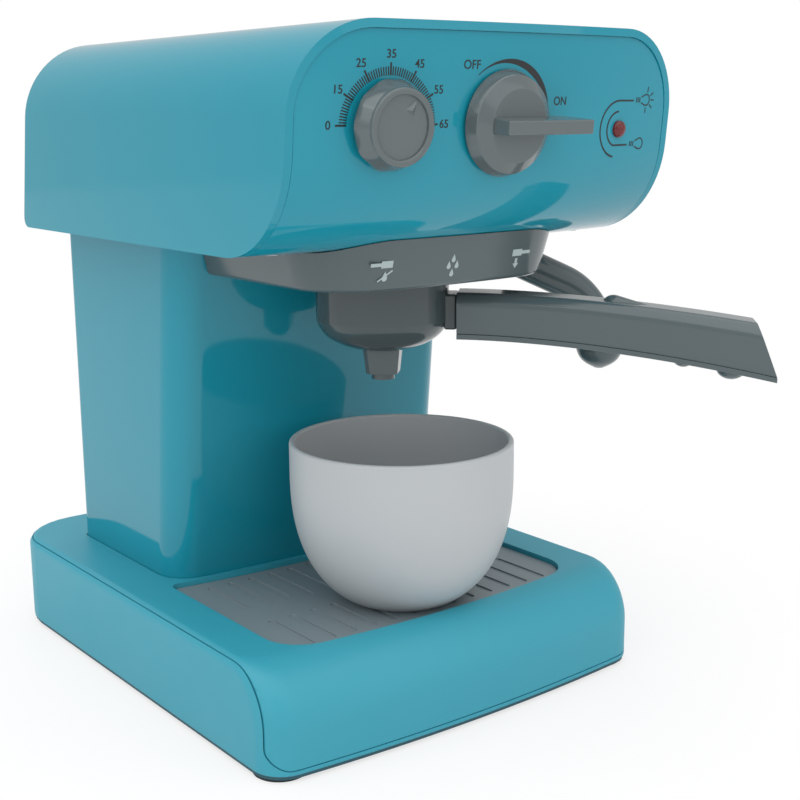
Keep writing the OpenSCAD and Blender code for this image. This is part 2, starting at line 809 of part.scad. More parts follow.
module head_screws() {
    color("silver") screws_up(head_bosses, head_z + 1.45);
}

// Rolled front panel that carries the dials and the lamp
module front_panel() {
    color("turquoise") difference() {
        union() {
            difference() {
                head_form(side = rim, front = panel_recess, top = rim);
                head_form(side = -5, front = panel_recess + panel_t, back = -5, top = -5, bottom = panel_t);
                block([-head_w, panel_split, head_z - 5], [head_w, head_back + 20, head_top + 10]);
            }
            on_panel(-timer_x, dial_z) {
                translate([0, 0, -9]) cylinder(r = timer_shaft_r + 2.5, h = 8);
                translate([0, 0, -2]) cylinder(r = timer_face_r, h = 3);
                translate([click_x, 0, -click_z - 3]) cylinder(r = 3, h = click_z + 2);
            }
            on_panel(lamp_x, lamp_z)
                for (x = board_bosses) translate([x, 0, -board_z]) cylinder(r = 2.6, h = board_z - 1);
        }
        on_panel(-timer_x, dial_z) {
            translate([0, 0, -12]) cylinder(r = timer_shaft_r + running, h = 20);
            translate([click_x, 0, -click_z - 4]) cylinder(r = 1, h = 6);
        }
        on_panel(-power_x, dial_z) translate([0, 0, -8]) cylinder(r = switch_neck_r + 0.1, h = 12);
        on_panel(lamp_x, lamp_z) {
            translate([0, 0, -8]) cylinder(r = lamp_r + 0.05, h = 12);
            for (x = board_bosses) translate([x, 0, -board_z - 1]) cylinder(r = 0.95, h = 6);
        }
        for (p = panel_bosses) {
            post(p, clear_r, head_z - 1, head_z + panel_t + 1);
            post(p, sink_r, head_z - 1, head_z + 1.5);
        }
    }
}

module panel_screws() {
    color("silver") screws_up(panel_bosses, head_z + 1.45, 3.8);
}

// ---- Brewing group -------------------------------------------------------------

// Tapered tub under the head, whose front lip follows the rolled panel, with the
// bore that the locking ring turns in
module group_housing() {
    rear = column_front + (head_z - base_h) * tan(column_lean) + gap + inner_wall;
    color("gray") difference() {
        union() {
            difference() {
                housing_form(top = housing_lip);
                intersection() {
                    housing_form(inner_wall, inner_wall, housing_lip + 1);
                    block([-housing_w, -housing_front * 2, housing_z],
                        [housing_w, -rear, head_z + housing_lip + 2]);
                }
            }
            post([0, -brew_y], ring_r + running + ring_wall, housing_z + 0.5, head_z - 0.4);
            for (p = housing_bosses) post(p, boss_r - 0.5, housing_z + 1, head_z);
        }
        intersection() {
            head_form(side = -5, front = panel_recess - gap, top = -5, bottom = -gap);
            block([-head_w, -head_front * 2, 0], [head_w, panel_split, head_top]);
        }
        block([-head_w, panel_split, head_z], [head_w, 0, head_z + housing_lip + 1]);
        column_form(housing_z - 2, head_z + 2, -gap);
        post([0, -brew_y], ring_r + running, housing_z + inner_wall, head_z + 1);
        post([0, -brew_y], basket_r + 1.4, housing_z - 1, head_z);
        brew_frame() for (a = lug_angles) rotate(a)
            translate([0, -lug_w / 2 - 0.6, housing_z - 1])
                cube([basket_r + lug_reach + 0.8, lug_w + 1.2, 8]);
        for (p = housing_bosses) post(p, pilot_r, head_z - 9, head_z + 1);
    }
}

module housing_screws() {
    color("silver") screws_down(housing_bosses, head_z + floor_t);
}

// Frame on the brewing axis, with X along the handle
module brew_frame() {
    translate([0, -brew_y, 0]) rotate(-handle_angle) children();
}

// Ring that turns with the filter holder and carries its lugs
module locking_ring() {
    color("dimgray") brew_frame() difference() {
        translate([0, 0, ring_low]) cylinder(r = ring_r, h = ring_high - ring_low);
        translate([0, 0, ring_low - 1]) cylinder(r = ring_bore, h = ring_high);
        for (a = lug_angles) rotate(a)
            translate([0, -lug_w / 2 - gap, ring_low - 1])
                cube([basket_r + lug_reach + 0.5, lug_w + 2 * gap, lug_low + lug_h + 0.5 - ring_low + 1]);
    }
}

// Cup-shaped basket with its lugs and the neck that the handle is fixed to
module filter_basket() {
    inner = basket_r - basket_wall;
    color("gray") brew_frame() {
        rotate_extrude() polygon([
            [0, cone_low], [cone_r, cone_low], [basket_r, basket_rim], [basket_r, basket_top],
            [inner, basket_top], [inner, basket_rim + 0.8], [cone_r, cone_low + 2], [0, cone_low + 2]
        ]);
        for (a = lug_angles) rotate(a) intersection() {
            translate([inner + 0.5, -lug_w / 2, lug_low]) cube([lug_reach + 2, lug_w, lug_h]);
            translate([0, 0, lug_low - 1]) cylinder(r = basket_r + lug_reach, h = lug_h + 2);
        }
        difference() {
            union() {
                block([inner + 0.6, -neck_half, neck_low], [handle_start - 0.2, neck_half, neck_high]);
                block([inner + 0.6, -tongue_half, tongue_low],
                    [handle_start + tongue_len, tongue_half, tongue_low + tongue_h]);
            }
            translate([0, 0, basket_rim + 0.8]) cylinder(r = inner, h = 40);
            translate([0, 0, neck_low - 1]) cylinder(r = cone_r + 4, h = 6);
        }
    }
}

// Square outline of half width h with its corners cut by c
function cut_square(h, c) = [
    [h, c - h], [h, h - c], [h - c, h], [c - h, h], [-h, h - c], [-h, c - h], [c - h, -h], [h - c, -h]
];

// Tapered square block and round nozzle that the coffee would run from
module spout() {
    color("gray") brew_frame() difference() {
        union() {
            loft([
                at_height(cut_square(spout_foot_w / 2, 1.6), spout_low),
                at_height(cut_square(spout_w / 2, 1.6), cone_low)
            ]);
            translate([0, 0, spout_low - nozzle_h]) cylinder(r = nozzle_r, h = nozzle_h + 1);
        }
        translate([0, 0, spout_low - nozzle_h - 1]) cylinder(r = spout_bore_r, h = spout_h);
    }
}

// ---- Handle --------------------------------------------------------------------

handle_len = handle_end - handle_start;

handle_curve = 1.72;
thumb_at = 78.5;
thumb_r = 4.5;
thumb_len = 10.5;
finger_at = [102.2, 118.2];
finger_len = [3.4, 5];
finger_half = 5;

// Heights of the handle's top and lower edges at a distance from the brewing axis
function handle_top(d) = handle_top_z
    - handle_droop * pow(max(d - handle_start, 0) / handle_len, handle_curve);

function handle_low(d) = handle_top_z - handle_h
    - handle_belly * pow(max(d - handle_start, 0) / (handle_len + handle_rake), handle_curve);

// Half widths of the section, from its lower edge to its top
section = [[0.92, 1], [0.94, 0.88], [1, 0.25], [0.97, 0.18], [0.68, 0]];

// Rings of the handle, inset by a wall, between two shares of its length and
// from a height above its lower edge
function handle_rings(inset, t0, t1, lift, steps) = [for (i = [0 : steps])
    let (
        t = t0 + (t1 - t0) * i / steps,
        d_top = handle_start + t * handle_len,
        d_low = handle_start + t * (handle_len + handle_rake),
        top = handle_top(d_top) - inset,
        low = handle_low(d_low) + lift,
        right = [for (s = section)
            [d_top + s[1] * (d_low - d_top), s[0] * handle_half - inset, top + s[1] * (low - top)]]
    )
    concat(right, [for (k = [len(right) - 1 : -1 : 0]) [right[k][0], -right[k][1], right[k][2]]])];

// Narrow hump on the handle's top, steep towards the group
module thumb_rest() {
    end = thumb_at + thumb_len;
    hull() {
        translate([thumb_at, 0, handle_top(thumb_at) + thumb_h - thumb_r]) sphere(r = thumb_r, $fn = 32);
        translate([end, 0, handle_top(end) - 1.6]) sphere(r = 1.6, $fn = 16);
    }
}

// Upper shell of the handle
module handle_shell() {
    inside = handle_wall / handle_len;
    color("gray") brew_frame() difference() {
        union() {
            difference() {
                union() {
                    loft(handle_rings(0, 0, 1, handle_plate_t + 0.2, 20));
                    thumb_rest();
                }
                loft(handle_rings(handle_wall, inside, 1 - inside, -8, 14));
            }
            intersection() {
                loft(handle_rings(0, 0, 1, handle_plate_t + 0.2, 20));
                for (d = handle_screw_at) translate([d, 0, handle_low(d) + handle_plate_t + 0.2])
                    cylinder(r = 3.2, h = 40);
            }
        }
        block([handle_start - 1, -tongue_half - 0.1, neck_low - 4],
            [handle_start + handle_wall + 1, tongue_half + 0.1, tongue_low + tongue_h + 0.1]);
        for (d = handle_screw_at) translate([d, 0, handle_low(d) - 1]) cylinder(r = pilot_r, h = 13);
    }
}

// Lower strip that closes the handle, with two finger rests under it
module handle_plate() {
    color("gray") brew_frame() difference() {
        union() {
            loft([for (i = [0 : 20])
                let (
                    d = handle_start + i / 20 * (handle_len + handle_rake),
                    z = handle_low(d),
                    w = handle_half * section[0][0],
                    up = z + handle_plate_t
                )
                [[d, w, z], [d, w + 0.4, up], [d, -w - 0.4, up], [d, -w, z]]]);
            for (i = [0, 1]) translate([finger_at[i], 0, handle_low(finger_at[i]) + 0.4])
                intersection() {
                    scale([finger_len[i], finger_half, finger_h * (1 + i / 2) + 0.4]) sphere(r = 1, $fn = 32);
                    translate([-10, -10, -10]) cube([20, 20, 10.6]);
                }
        }
        for (d = handle_screw_at) translate([d, 0, handle_low(d) - 3]) {
            cylinder(r = clear_r, h = 10);
            cylinder(r = sink_r, h = 3.9);
        }
    }
}

module handle_screws() {
    color("silver") brew_frame() for (d = handle_screw_at)
        translate([d, 0, handle_low(d) + 0.9]) screw(9);
}

// ---- Timer dial ------------------------------------------------------------------

click_z = 11;
click_r = 6.5;
click_x = click_r + 6;
knob_gap = 1.3;
timer_dish = 0.9;
timer_rim = 2.1;
flute_r = 8.5;
flute_depth = 0.9;

module timer_knob() {
    pointer = timer_face_r - timer_rim - 0.5;
    color("gray") on_panel(-timer_x, dial_z) difference() {
        union() {
            translate([0, 0, knob_gap])
                cylinder(r1 = timer_r, r2 = timer_face_r, h = timer_h - knob_gap - timer_dish);
            difference() {
                translate([0, 0, timer_h - timer_dish - eps])
                    cylinder(r1 = timer_face_r, r2 = timer_face_r - 0.3, h = timer_dish);
                translate([0, 0, timer_h - timer_dish]) cylinder(r = timer_face_r - timer_rim, h = 2);
            }
            rotate(-timer_rest)
                prism([[-1.7, pointer - 3.8], [1.7, pointer - 3.8], [0, pointer]],
                    timer_h - timer_dish - eps, timer_h - 0.1);
        }
        for (i = [0 : timer_flutes - 1]) rotate(360 * (i + 0.5) / timer_flutes)
            translate([timer_r + flute_r - flute_depth, 0, knob_gap - 1])
                cylinder(r = flute_r, h = timer_h - knob_gap - 0.6);
        translate([0, 0, knob_gap - 1]) cylinder(r = timer_shaft_r + running, h = timer_h - knob_gap - 1.4);
    }
}

module timer_shaft() {
    color("silver") on_panel(-timer_x, dial_z)
        translate([0, 0, -click_z - 6]) cylinder(r = timer_shaft_r, h = click_z + 6 + timer_h - 2.8);
}

// Toothed disc on the shaft that gives the timer its clicks
module click_wheel() {
    teeth = 24;
    color("ivory") on_panel(-timer_x, dial_z) translate([0, 0, -click_z - 3]) difference() {
        cylinder(r = click_r, h = 3.4);
        for (i = [0 : teeth - 1]) rotate(360 * i / teeth)
            translate([click_r + 0.35, 0, -1]) cylinder(r = 0.7, h = 6, $fn = 16);
        translate([0, 0, -1]) cylinder(r = timer_shaft_r + running, h = 6);
    }
}

// Sheet finger that rides over the click wheel, held by one post of the panel
module click_spring() {
    color("silver") on_panel(-timer_x, dial_z) translate([0, 0, -click_z - 3 - 0.5]) {
        difference() {
            translate([click_x - 3, -3, 0]) cube([6, 6, 0.5]);
            translate([click_x, 0, -1]) cylinder(r = 1.1, h = 3);
        }
        translate([click_x - 3, -3, 0]) cube([0.4, 3 - 1.6, 3.4]);
        translate([click_r + 0.3, -2, 0.6]) cube([click_x - 3 - click_r, 0.4, 2.6]);
    }
}

// Push-on clip that keeps the shaft in its bush
module timer_clip() {
    color("silver") on_panel(-timer_x, dial_z) translate([0, 0, -click_z - 4.4]) difference() {
        cylinder(r = 4.6, h = 1);
        translate([0, 0, -1]) cylinder(r = timer_shaft_r + running, h = 3);
    }
}

// ---- Power dial ------------------------------------------------------------------

switch_z = 5;
switch_h = 8;
switch_neck_r = power_shaft_r + 2;
lug_x = 7;
lug_d = switch_z + switch_h + 3;
power_side_h = 4.5;
power_side_r = power_r - 1.4;
lever_back = 10.2;
lever_low = 4;
lever_grip = 0.5;

// The lever's outline: distance from the axis, and distance from the panel
lever_side = [
    [-lever_back, lever_low + 1.5], [lever_reach - 14, lever_low], [lever_reach - 10, lever_low],
    [lever_reach - 6.6, lever_low + 0.9], [lever_reach - 3.6, lever_low + 2.6],
    [lever_reach - 1.2, lever_low + 5.2], [lever_reach, lever_low + 7.6], [lever_reach, lever_h],
    [-lever_back + 0.5, lever_h]
];

// Half the lever's thickness at a distance from the panel
function lever_half(h) = lever_t / 2 + lever_grip * (lever_h - h) / (lever_h - lever_low);

module power_knob() {
    color("gray") on_panel(-power_x, dial_z) difference() {
        union() {
            translate([0, 0, 0.6]) cylinder(r1 = power_r, r2 = power_side_r, h = power_side_h - 0.6);
            translate([0, 0, power_side_h - eps])
                cylinder(r1 = power_side_r, r2 = power_face_r, h = power_face_h - power_side_h);
            loft([for (side = [1, -1]) [for (p = lever_side) [p[0], side * lever_half(p[1]), p[1]]]]);
        }
        cylinder(r = power_shaft_r + running, h = 5);
    }
}

module power_shaft() {
    color("silver") on_panel(-power_x, dial_z)
        translate([0, 0, -lug_d]) cylinder(r = power_shaft_r, h = lug_d + 4.6);
}

module power_clip() {
    color("silver") on_panel(-power_x, dial_z) translate([0, 0, -switch_z - switch_h - 1.4]) difference() {
        cylinder(r = 5, h = 1);
        translate([0, 0, -1]) cylinder(r = power_shaft_r + running, h = 3);
    }
}

// Fixed body of the switch, with a neck that fills the panel's hole
module rotary_switch() {
    color("black") on_panel(-power_x, dial_z) difference() {
        union() {
            translate([-9, -9, -switch_z - switch_h]) cube([18, 18, switch_h]);
            translate([0, 0, -switch_z - eps]) cylinder(r = switch_neck_r, h = switch_z);
            for (x = [-lug_x, lug_x]) translate([x - 0.4, -2, -lug_d]) cube([0.8, 4, 3.2]);
            for (x = [-1, 1])
                translate([x * 8 - 1, -4, -switch_z - 0.1]) cube([2, 8, switch_z - panel_t - 0.2]);
        }
        translate([0, 0, -switch_z - switch_h - 1]) cylinder(r = power_shaft_r + running, h = 20);
    }
}

// ---- Lamp and wiring ---------------------------------------------------------------

board_z = 10;
board_t = 1.6;
board_bosses = [-9, 9];

module lamp_lens() {
    color("darkred") on_panel(lamp_x, lamp_z) difference() {
        union() {
            translate([0, 0, -panel_t - 1]) cylinder(r = lamp_r, h = panel_t + 1.7);
            translate([0, 0, 0.6]) intersection() {
                translate([0, 0, -1.2]) sphere(r = sqrt(lamp_r * lamp_r + 1.44));
                cylinder(r = lamp_r, h = 4);
            }
            translate([0, 0, -panel_t - 1.7]) cylinder(r = lamp_r + 1, h = 1.1);
        }
        translate([0, 0, -panel_t - 2]) cylinder(r = 1.7, h = panel_t + 2);
    }
}

module lamp_bulb() {
    color("red") on_panel(lamp_x, lamp_z) {
        translate([0, 0, -board_z]) cylinder(r = 1.5, h = board_z - 1.6);
        translate([0, 0, -board_z]) cylinder(r = 2.4, h = 1);
    }
}

module circuit_board() {
    color("green") on_panel(lamp_x, lamp_z) difference() {
        union() {
            translate([-14, -7, -board_z - board_t]) cube([26, 14, board_t]);
            translate([-6, -5, -board_z - board_t - 1.5]) cube([5, 3, 1.6]);
            translate([2, 2, -board_z - board_t - 2]) cube([4, 3, 2.1]);
        }
        for (x = board_bosses) translate([x, 0, -board_z - board_t - 1]) cylinder(r = 1.1, h = board_t + 2);
    }
}

module board_screws() {
    color("silver") on_panel(lamp_x, lamp_z) for (x = board_bosses)
        translate([x, 0, -board_z - board_t]) {
            translate([0, 0, -1]) cylinder(r = 0.9, h = 6);
            translate([0, 0, -1]) cylinder(r = 1.9, h = 1);
        }
}

// Where the switch's lugs end, as distance from the origin and height
lug_end = [panel_y(-power_x, dial_z) + lug_d * cos(head_lean), dial_z + lug_d * sin(head_lean)];

// Two wires from the switch to the lamp's board, seen from the end of the lugs
lamp_route = [
    [lug_x - power_x + 1, -1.8, -3.6], [16, 2.2, -7.6], [28, 4.2, -8.6], [36, 2.2, -6.6], [40, 0.2, -4.6]
];

module lamp_wires() {
    color("red") for (side = [0, 1])
        tube(smooth([for (p = lamp_route) p + [0, lug_end[0], lug_end[1] + 3 * side]], 3),
            wire_r, 8, [0, 0, 1]);
}

// Two wires from the battery box up through the column to the switch
battery_route = [
    [0, 50, bay_top + bay_wall + wire_r + 0.1], [0, 46, seat_z - 0.5], [0, 38, seat_z + 20],
    [0, 34, seat_z + 60], [0, 35, head_z - 27], [0, cable_y, head_z - 5], [0, 34, head_z + 11],
    [0, 18, head_z + 20], [0, -30, head_z + 21], [0, -74, head_z + 27],
    [0, lug_end[0] + 6.2, lug_end[1] - 1.6], [0, lug_end[0] + 0.4, lug_end[1]]
];

module battery_wires() {
    color("black") for (side = [-1, 1])
        tube(smooth([for (p = battery_route) p + [side * lug_x - power_x, 0, 0]], 3), wire_r, 8, [1, 0, 0]);
}

// ---- Wand --------------------------------------------------------------------------

module wand_frame() {
    translate([wand_x, -wand_y, 0]) rotate(-wand_angle) children();
}

// Middle line of the tube: a sloping run, a bend and a straight drop
function wand_path() =
    let (
        cx = wand_reach - wand_bend,
        run = cx + wand_bend * sin(wand_dip),
        cz = wand_axis_z - run * tan(wand_dip) - wand_bend * cos(wand_dip)
    )
    concat(
        [[0, 0, wand_axis_z]],
        [for (i = [0 : 8]) let (a = (90 - wand_dip) * (1 - i / 8))
            [cx + wand_bend * cos(a), 0, cz + wand_bend * sin(a)]],
        [[wand_reach, 0, wand_low + 4]]);

module steam_wand() {
    color("gray") wand_frame() difference() {
        union() {
            tube(wand_path(), wand_r, 16, [0, 1, 0]);
            translate([0, 0, wand_axis_z]) sphere(r = wand_r + 0.1);
            translate([0, 0, wand_axis_z]) cylinder(r = wand_r + 0.1, h = wand_top - wand_axis_z);
        }
        translate([0, 0, pivot_low]) cylinder(r = pivot_r + 0.02, h = 10);
    }
}

// Sleeve with a blunt conical end over the tube
module wand_tip() {
    r = wand_tip_r;
    color("gray") wand_frame() translate([wand_reach, 0, wand_low]) difference() {
        rotate_extrude() polygon([
            [0, 0], [0.2 * r, 0], [0.5 * r, 0.15 * r], [0.72 * r, 0.31 * r], [0.87 * r, 0.5 * r],
            [0.97 * r, 0.74 * r], [r, 0.97 * r], [r, wand_tip_h - 0.3], [r - 0.3, wand_tip_h], [0, wand_tip_h]
        ]);
        translate([0, 0, 4]) cylinder(r = wand_r + 0.05, h = wand_tip_h);
        translate([0, 0, -1]) cylinder(r = 1.1, h = 6);
    }
}

// Pin that turns in the head's floor
module wand_pivot() {
    color("gray") difference() {
        post([wand_x, -wand_y], pivot_r, pivot_low, pivot_high);
        post([wand_x, -wand_y], pilot_r, pivot_high - 7, pivot_high + 1);
    }
}

module wand_washer() {
    color("silver") difference() {
        post([wand_x, -wand_y], wand_washer_r, pivot_high, pivot_high + wand_washer_t);
        post([wand_x, -wand_y], clear_r, pivot_high - 1, pivot_high + wand_washer_t + 1);
    }
}

module wand_screw() {
    color("silver") screws_down([[wand_x, -wand_y]], pivot_high + wand_washer_t, 7);
}

// ---- Cup ---------------------------------------------------------------------------

// Radius of the cup's outside at a height above its foot: nearly straight above
// the band and a rounded bowl below it
bowl_h = cup_h - cup_band;
bowl_pow = 2.4;
bowl_full = bowl_h / pow(1 - pow(cup_foot_r / cup_r, bowl_pow), 1 / bowl_pow);

function cup_out(h) = h >= bowl_h ? cup_r
    : cup_r * pow(1 - pow((bowl_h - h) / bowl_full, bowl_pow), 1 / bowl_pow);

module cup() {
    steps = 14;
    rise = [for (i = [0 : steps]) bowl_h * (1 - cos(90 * i / steps))];
    outside = concat([[0, 0.6], [cup_foot_r - 3, 0.6], [cup_foot_r - 2.4, 0]],
        [for (h = rise) [cup_out(h), h]], [[cup_r, cup_h - 0.8], [cup_r - 0.5, cup_h]]);
    inside = concat([[cup_r - cup_wall + 0.4, cup_h], [cup_r - cup_wall, cup_h - 0.6]],
        [for (i = [steps : -1 : 0]) [cup_out(rise[i]) - cup_wall, rise[i] + cup_wall * (1 - i / steps)]],
        [[0, cup_wall]]);
    color("white") translate([0, -cup_y, tray_z]) rotate_extrude($fn = 96) polygon(concat(outside, inside));
}

base_shell();
base_cover();
base_plate();
rubber_feet();
base_screws();
drip_tray();
battery_box();
battery_cells();
battery_contacts();
battery_door();
door_screw();
column_shell();
column_back();
column_screws();
column_back_screws();
head_shell();
head_floor();
head_screws();
front_panel();
panel_screws();
group_housing();
housing_screws();
locking_ring();
filter_basket();
spout();
handle_shell();
handle_plate();
handle_screws();
timer_knob();
timer_shaft();
click_wheel();
click_spring();
timer_clip();
power_knob();
power_shaft();
power_clip();
rotary_switch();
lamp_lens();
lamp_bulb();
circuit_board();
board_screws();
lamp_wires();
battery_wires();
steam_wand();
wand_tip();
wand_pivot();
wand_washer();
wand_screw();
cup();
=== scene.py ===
"""Toy coffee maker: its shells, dials, printed marks and finishes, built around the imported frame."""

import json
from contextlib import contextmanager
from math import atan, cos, exp, pi, radians, sin, sqrt, tan

import bmesh
import bpy
import numpy as np
from bpy.props import FloatProperty, FloatVectorProperty, IntProperty, PointerProperty
from mathutils import Matrix, Vector


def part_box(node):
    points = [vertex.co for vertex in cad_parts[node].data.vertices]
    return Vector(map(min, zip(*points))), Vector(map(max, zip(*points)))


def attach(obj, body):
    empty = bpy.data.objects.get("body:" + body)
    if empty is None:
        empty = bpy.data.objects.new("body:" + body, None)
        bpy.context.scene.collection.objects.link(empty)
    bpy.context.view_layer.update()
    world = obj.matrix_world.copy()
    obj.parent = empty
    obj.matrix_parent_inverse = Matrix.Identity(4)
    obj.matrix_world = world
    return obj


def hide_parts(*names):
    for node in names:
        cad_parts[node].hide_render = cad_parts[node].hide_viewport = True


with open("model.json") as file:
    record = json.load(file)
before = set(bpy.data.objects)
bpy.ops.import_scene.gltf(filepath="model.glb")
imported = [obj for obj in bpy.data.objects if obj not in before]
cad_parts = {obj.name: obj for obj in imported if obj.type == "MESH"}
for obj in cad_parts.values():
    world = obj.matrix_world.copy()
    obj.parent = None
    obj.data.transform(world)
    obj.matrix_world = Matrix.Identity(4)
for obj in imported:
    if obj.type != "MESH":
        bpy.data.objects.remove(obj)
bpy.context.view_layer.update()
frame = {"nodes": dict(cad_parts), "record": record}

bl_info = {
    "name": "Toy Coffee Maker",
    "version": (1, 0, 0),
    "blender": (4, 5, 0),
    "location": "View3D > Sidebar > Coffee Maker",
    "description": "Builds the shells, dials, marks and finishes of a toy coffee maker",
    "category": "Object",
}

MM = 0.001
GAP = 0.3 * MM  # clearance between pieces that fit into one another


# ---- Settings ---------------------------------------------------------------------------------


def length(name, description, size):
    """A size property, given in millimetres."""
    return FloatProperty(
        name=name, description=description, default=size * MM, precision=5, unit="LENGTH"
    )


def angle(name, description, size):
    """An angle property, given in degrees."""
    return FloatProperty(
        name=name, description=description, default=radians(size), subtype="ANGLE", unit="ROTATION"
    )


def linear(code):
    """sRGB hex code to the linear colour that shaders and properties hold."""
    parts = [int(code[i : i + 2], 16) / 255 for i in (1, 3, 5)]
    return tuple(c / 12.92 if c <= 0.04045 else ((c + 0.055) / 1.055) ** 2.4 for c in parts)


def colour(name, description, code):
    return FloatVectorProperty(
        name=name, description=description, default=linear(code), subtype="COLOR", min=0, max=1
    )


class BaseSizes(bpy.types.PropertyGroup):
    """Sizes of the base and its drip tray"""

    front: length("Front", "Reach of the base in front of the origin", 101)
    sag: length("Bow", "How far the front bows forward", 4.5)
    roll: length("Roll", "Radius between the top and the front", 19)
    front_r: length("Front corners", "Plan radius of the front corners", 11)
    back_r: length("Back corners", "Plan radius of the back corners", 25)
    edge_r: length("Edge", "Rounding of the top's outer edge", 3.5)
    lip: length("Lip", "Height of the strip left under the front cover", 1.5)
    rim: length("Shell edge", "Width of the shell's edge beside the cover", 1)
    cover_corner: length("Cover corner", "Radius of the cover's lower corners", 6.5)
    seam: length("Seam", "Width of the gap between shell and cover", 0.4)
    wall: length("Wall", "Thickness of the shell", 2.5)
    groove_width: length("Groove width", "Width of one groove of the tray", 2.4)
    groove_depth: length("Groove depth", "Depth of one groove of the tray", 0.5)
    groove_pitch: length("Groove pitch", "Distance between grooves", 8.45)
    groove_count: IntProperty(name="Grooves", description="Grooves in each row", default=13)
    tray_sag: length("Tray bow", "How far the tray's front edge bows forward", 4.2)
    tray_back_sag: length("Tray back bow", "How far the tray's back edge bows", 4.5)
    tray_corner: length("Tray corners", "Plan radius of the tray's front corners", 14)


class ColumnSizes(bpy.types.PropertyGroup):
    """Sizes of the column"""

    front: length("Front", "Reach of the foot in front of the origin", 5)
    sag: length("Bow", "How far the front bows forward", 3.5)
    corner: length("Front corners", "Plan radius of the front corners", 12)
    heel: length("Rear corners", "Plan radius of the rear corners", 6)
    lean: angle("Lean", "Forward lean of the front", 5.7)
    wall: length("Wall", "Thickness of the shell", 2.5)


class HeadSizes(bpy.types.PropertyGroup):
    """Sizes of the head"""

    front: length("Front", "Reach of the top's front edge in front of the origin", 116)
    back: length("Back", "Reach of the underside behind the origin", 76.5)
    sag: length("Bow", "How far the front bows forward", 5.5)
    lean: angle("Front lean", "Forward lean of the front", 5.7)
    back_lean: angle("Rear lean", "Forward lean of the rear", 10.5)
    top_r: length("Top edges", "Radius of the top side edges", 26)
    roll: length("Roll", "Radius between the front and the underside", 34)
    heel: length("Heel", "Radius of the lower rear edge", 4)
    wall: length("Wall", "Thickness of the shell", 2.5)
    rim: length("Rim", "Width of the rim beside the front panel", 2.65)
    recess: length("Recess", "How far the front panel lies behind the rim", 0.5)
    split: length("Split", "How far in front of the origin the panel ends underneath", 73)


class GroupSizes(bpy.types.PropertyGroup):
    """Sizes of the brewing group and the handle"""

    axis_y: length("Axis", "Distance from the origin forward to the brewing axis", 49)
    width: length("Housing width", "Width of the housing's underside", 96)
    front: length("Housing front", "Reach of the housing's underside", 89.5)
    sag: length("Housing bow", "How far the housing's front bows", 2.8)
    corner: length("Housing corners", "Plan radius of the front corners", 22)
    draft: angle("Draft", "Draft of the housing's wall", 15)
    basket_r: length("Basket", "Outside radius of the filter basket", 22.9)
    basket_wall: length("Basket wall", "Thickness of the basket's wall", 1.8)
    basket_foot: length("Basket foot", "Radius of the basket's flat underside", 10)
    basket_skirt: length("Basket skirt", "Height of the basket's straight wall", 25.7)
    basket_swell: length("Basket swell", "How far the bowl swells under that wall", 2.2)
    handle_angle: angle("Handle angle", "Angle of the handle from the right-hand side", 45)
    handle_start: length("Handle start", "Distance from the brewing axis to the handle", 26.2)
    handle_end: length("Handle end", "Distance to the end of the top edge", 125.3)
    handle_rake: length("Handle rake", "How much further the lower edge reaches", 6.9)
    handle_h: length("Handle height", "Height of the handle at its root", 15.6)
    handle_half: length("Handle half width", "Half width at the ridge line", 9.5)
    handle_droop: length("Handle droop", "Droop of the top edge over its length", 9.2)
    handle_belly: length("Handle belly", "Droop of the lower edge over its length", 13.2)


class DialSizes(bpy.types.PropertyGroup):
    """Sizes and places of the dials, the lamp and the wand"""

    timer_x: length("Timer", "Timer axis, left of the middle", 44)
    power_x: length("Power", "Power axis, left of the middle", 2.2)
    axis_z: length("Axis height", "Height of the dials' axes", 197)
    timer_r: length("Timer radius", "Radius of the timer knob at its foot", 13.1)
    power_r: length("Power radius", "Radius of the power knob at its foot", 15.9)
    lamp_x: length("Lamp", "Lamp, right of the middle", 49.5)
    lamp_z: length("Lamp height", "Height of the lamp", 194.6)
    lamp_r: length("Lamp radius", "Radius of the lens", 2.7)
    wand_x: length("Wand x", "Wand pivot, right of the middle", 61)
    wand_y: length("Wand y", "Wand pivot, in front of the origin", 52)
    wand_angle: angle("Wand angle", "Angle of the wand from the right-hand side", 25)
    wand_r: length("Wand radius", "Radius of the tube", 6)
    wand_bend: length("Wand bend", "Radius of the bend", 26.5)
    wand_reach: length("Wand reach", "Reach of the wand from its pivot", 32)
    wand_dip: angle("Wand dip", "Fall of the wand's run before its bend", 25)
    wand_elbow: length("Wand elbow", "How far the wand's elbow hangs under the head", 12.7)


class Finishes(bpy.types.PropertyGroup):
    """Colours of the pieces"""

    casing: colour("Casing", "Moulded casing", "#1A8CA0")
    # paler than the casing's turquoise: the same plastic, with part of its satin sheen painted into the
    # colour
    base: colour("Base", "Satin casing of the base", "#3098AC")
    # dark teal that paints the shade under the casing onto the parts there
    underside: colour("Underside", "Dark parts under the casing", "#21505C")
    trim: colour("Trim", "Grey housing, handle and wand", "#4F5B5E")
    knob: colour("Knobs", "Paler grey dials", "#5E6769")
    # darker than the dials: partly the basket's own grey, partly painted shade from the head above it
    basket: colour("Basket", "Darker grey filter basket", "#444F51")
    tray: colour("Tray", "Drip tray", "#77848A")
    cup: colour("Cup", "Pale cup", "#B2B6B8")
    ink: colour("Dark print", "Dial marks", "#11181B")
    pale_ink: colour("Pale print", "Marks on the housing", "#A6B4B4")
    lens: colour("Lens", "Lamp lens", "#64171A")


# ---- Outlines and meshes ----------------------------------------------------------------------


def bow(x, half, sag):
    return sag * (x / half) ** 2


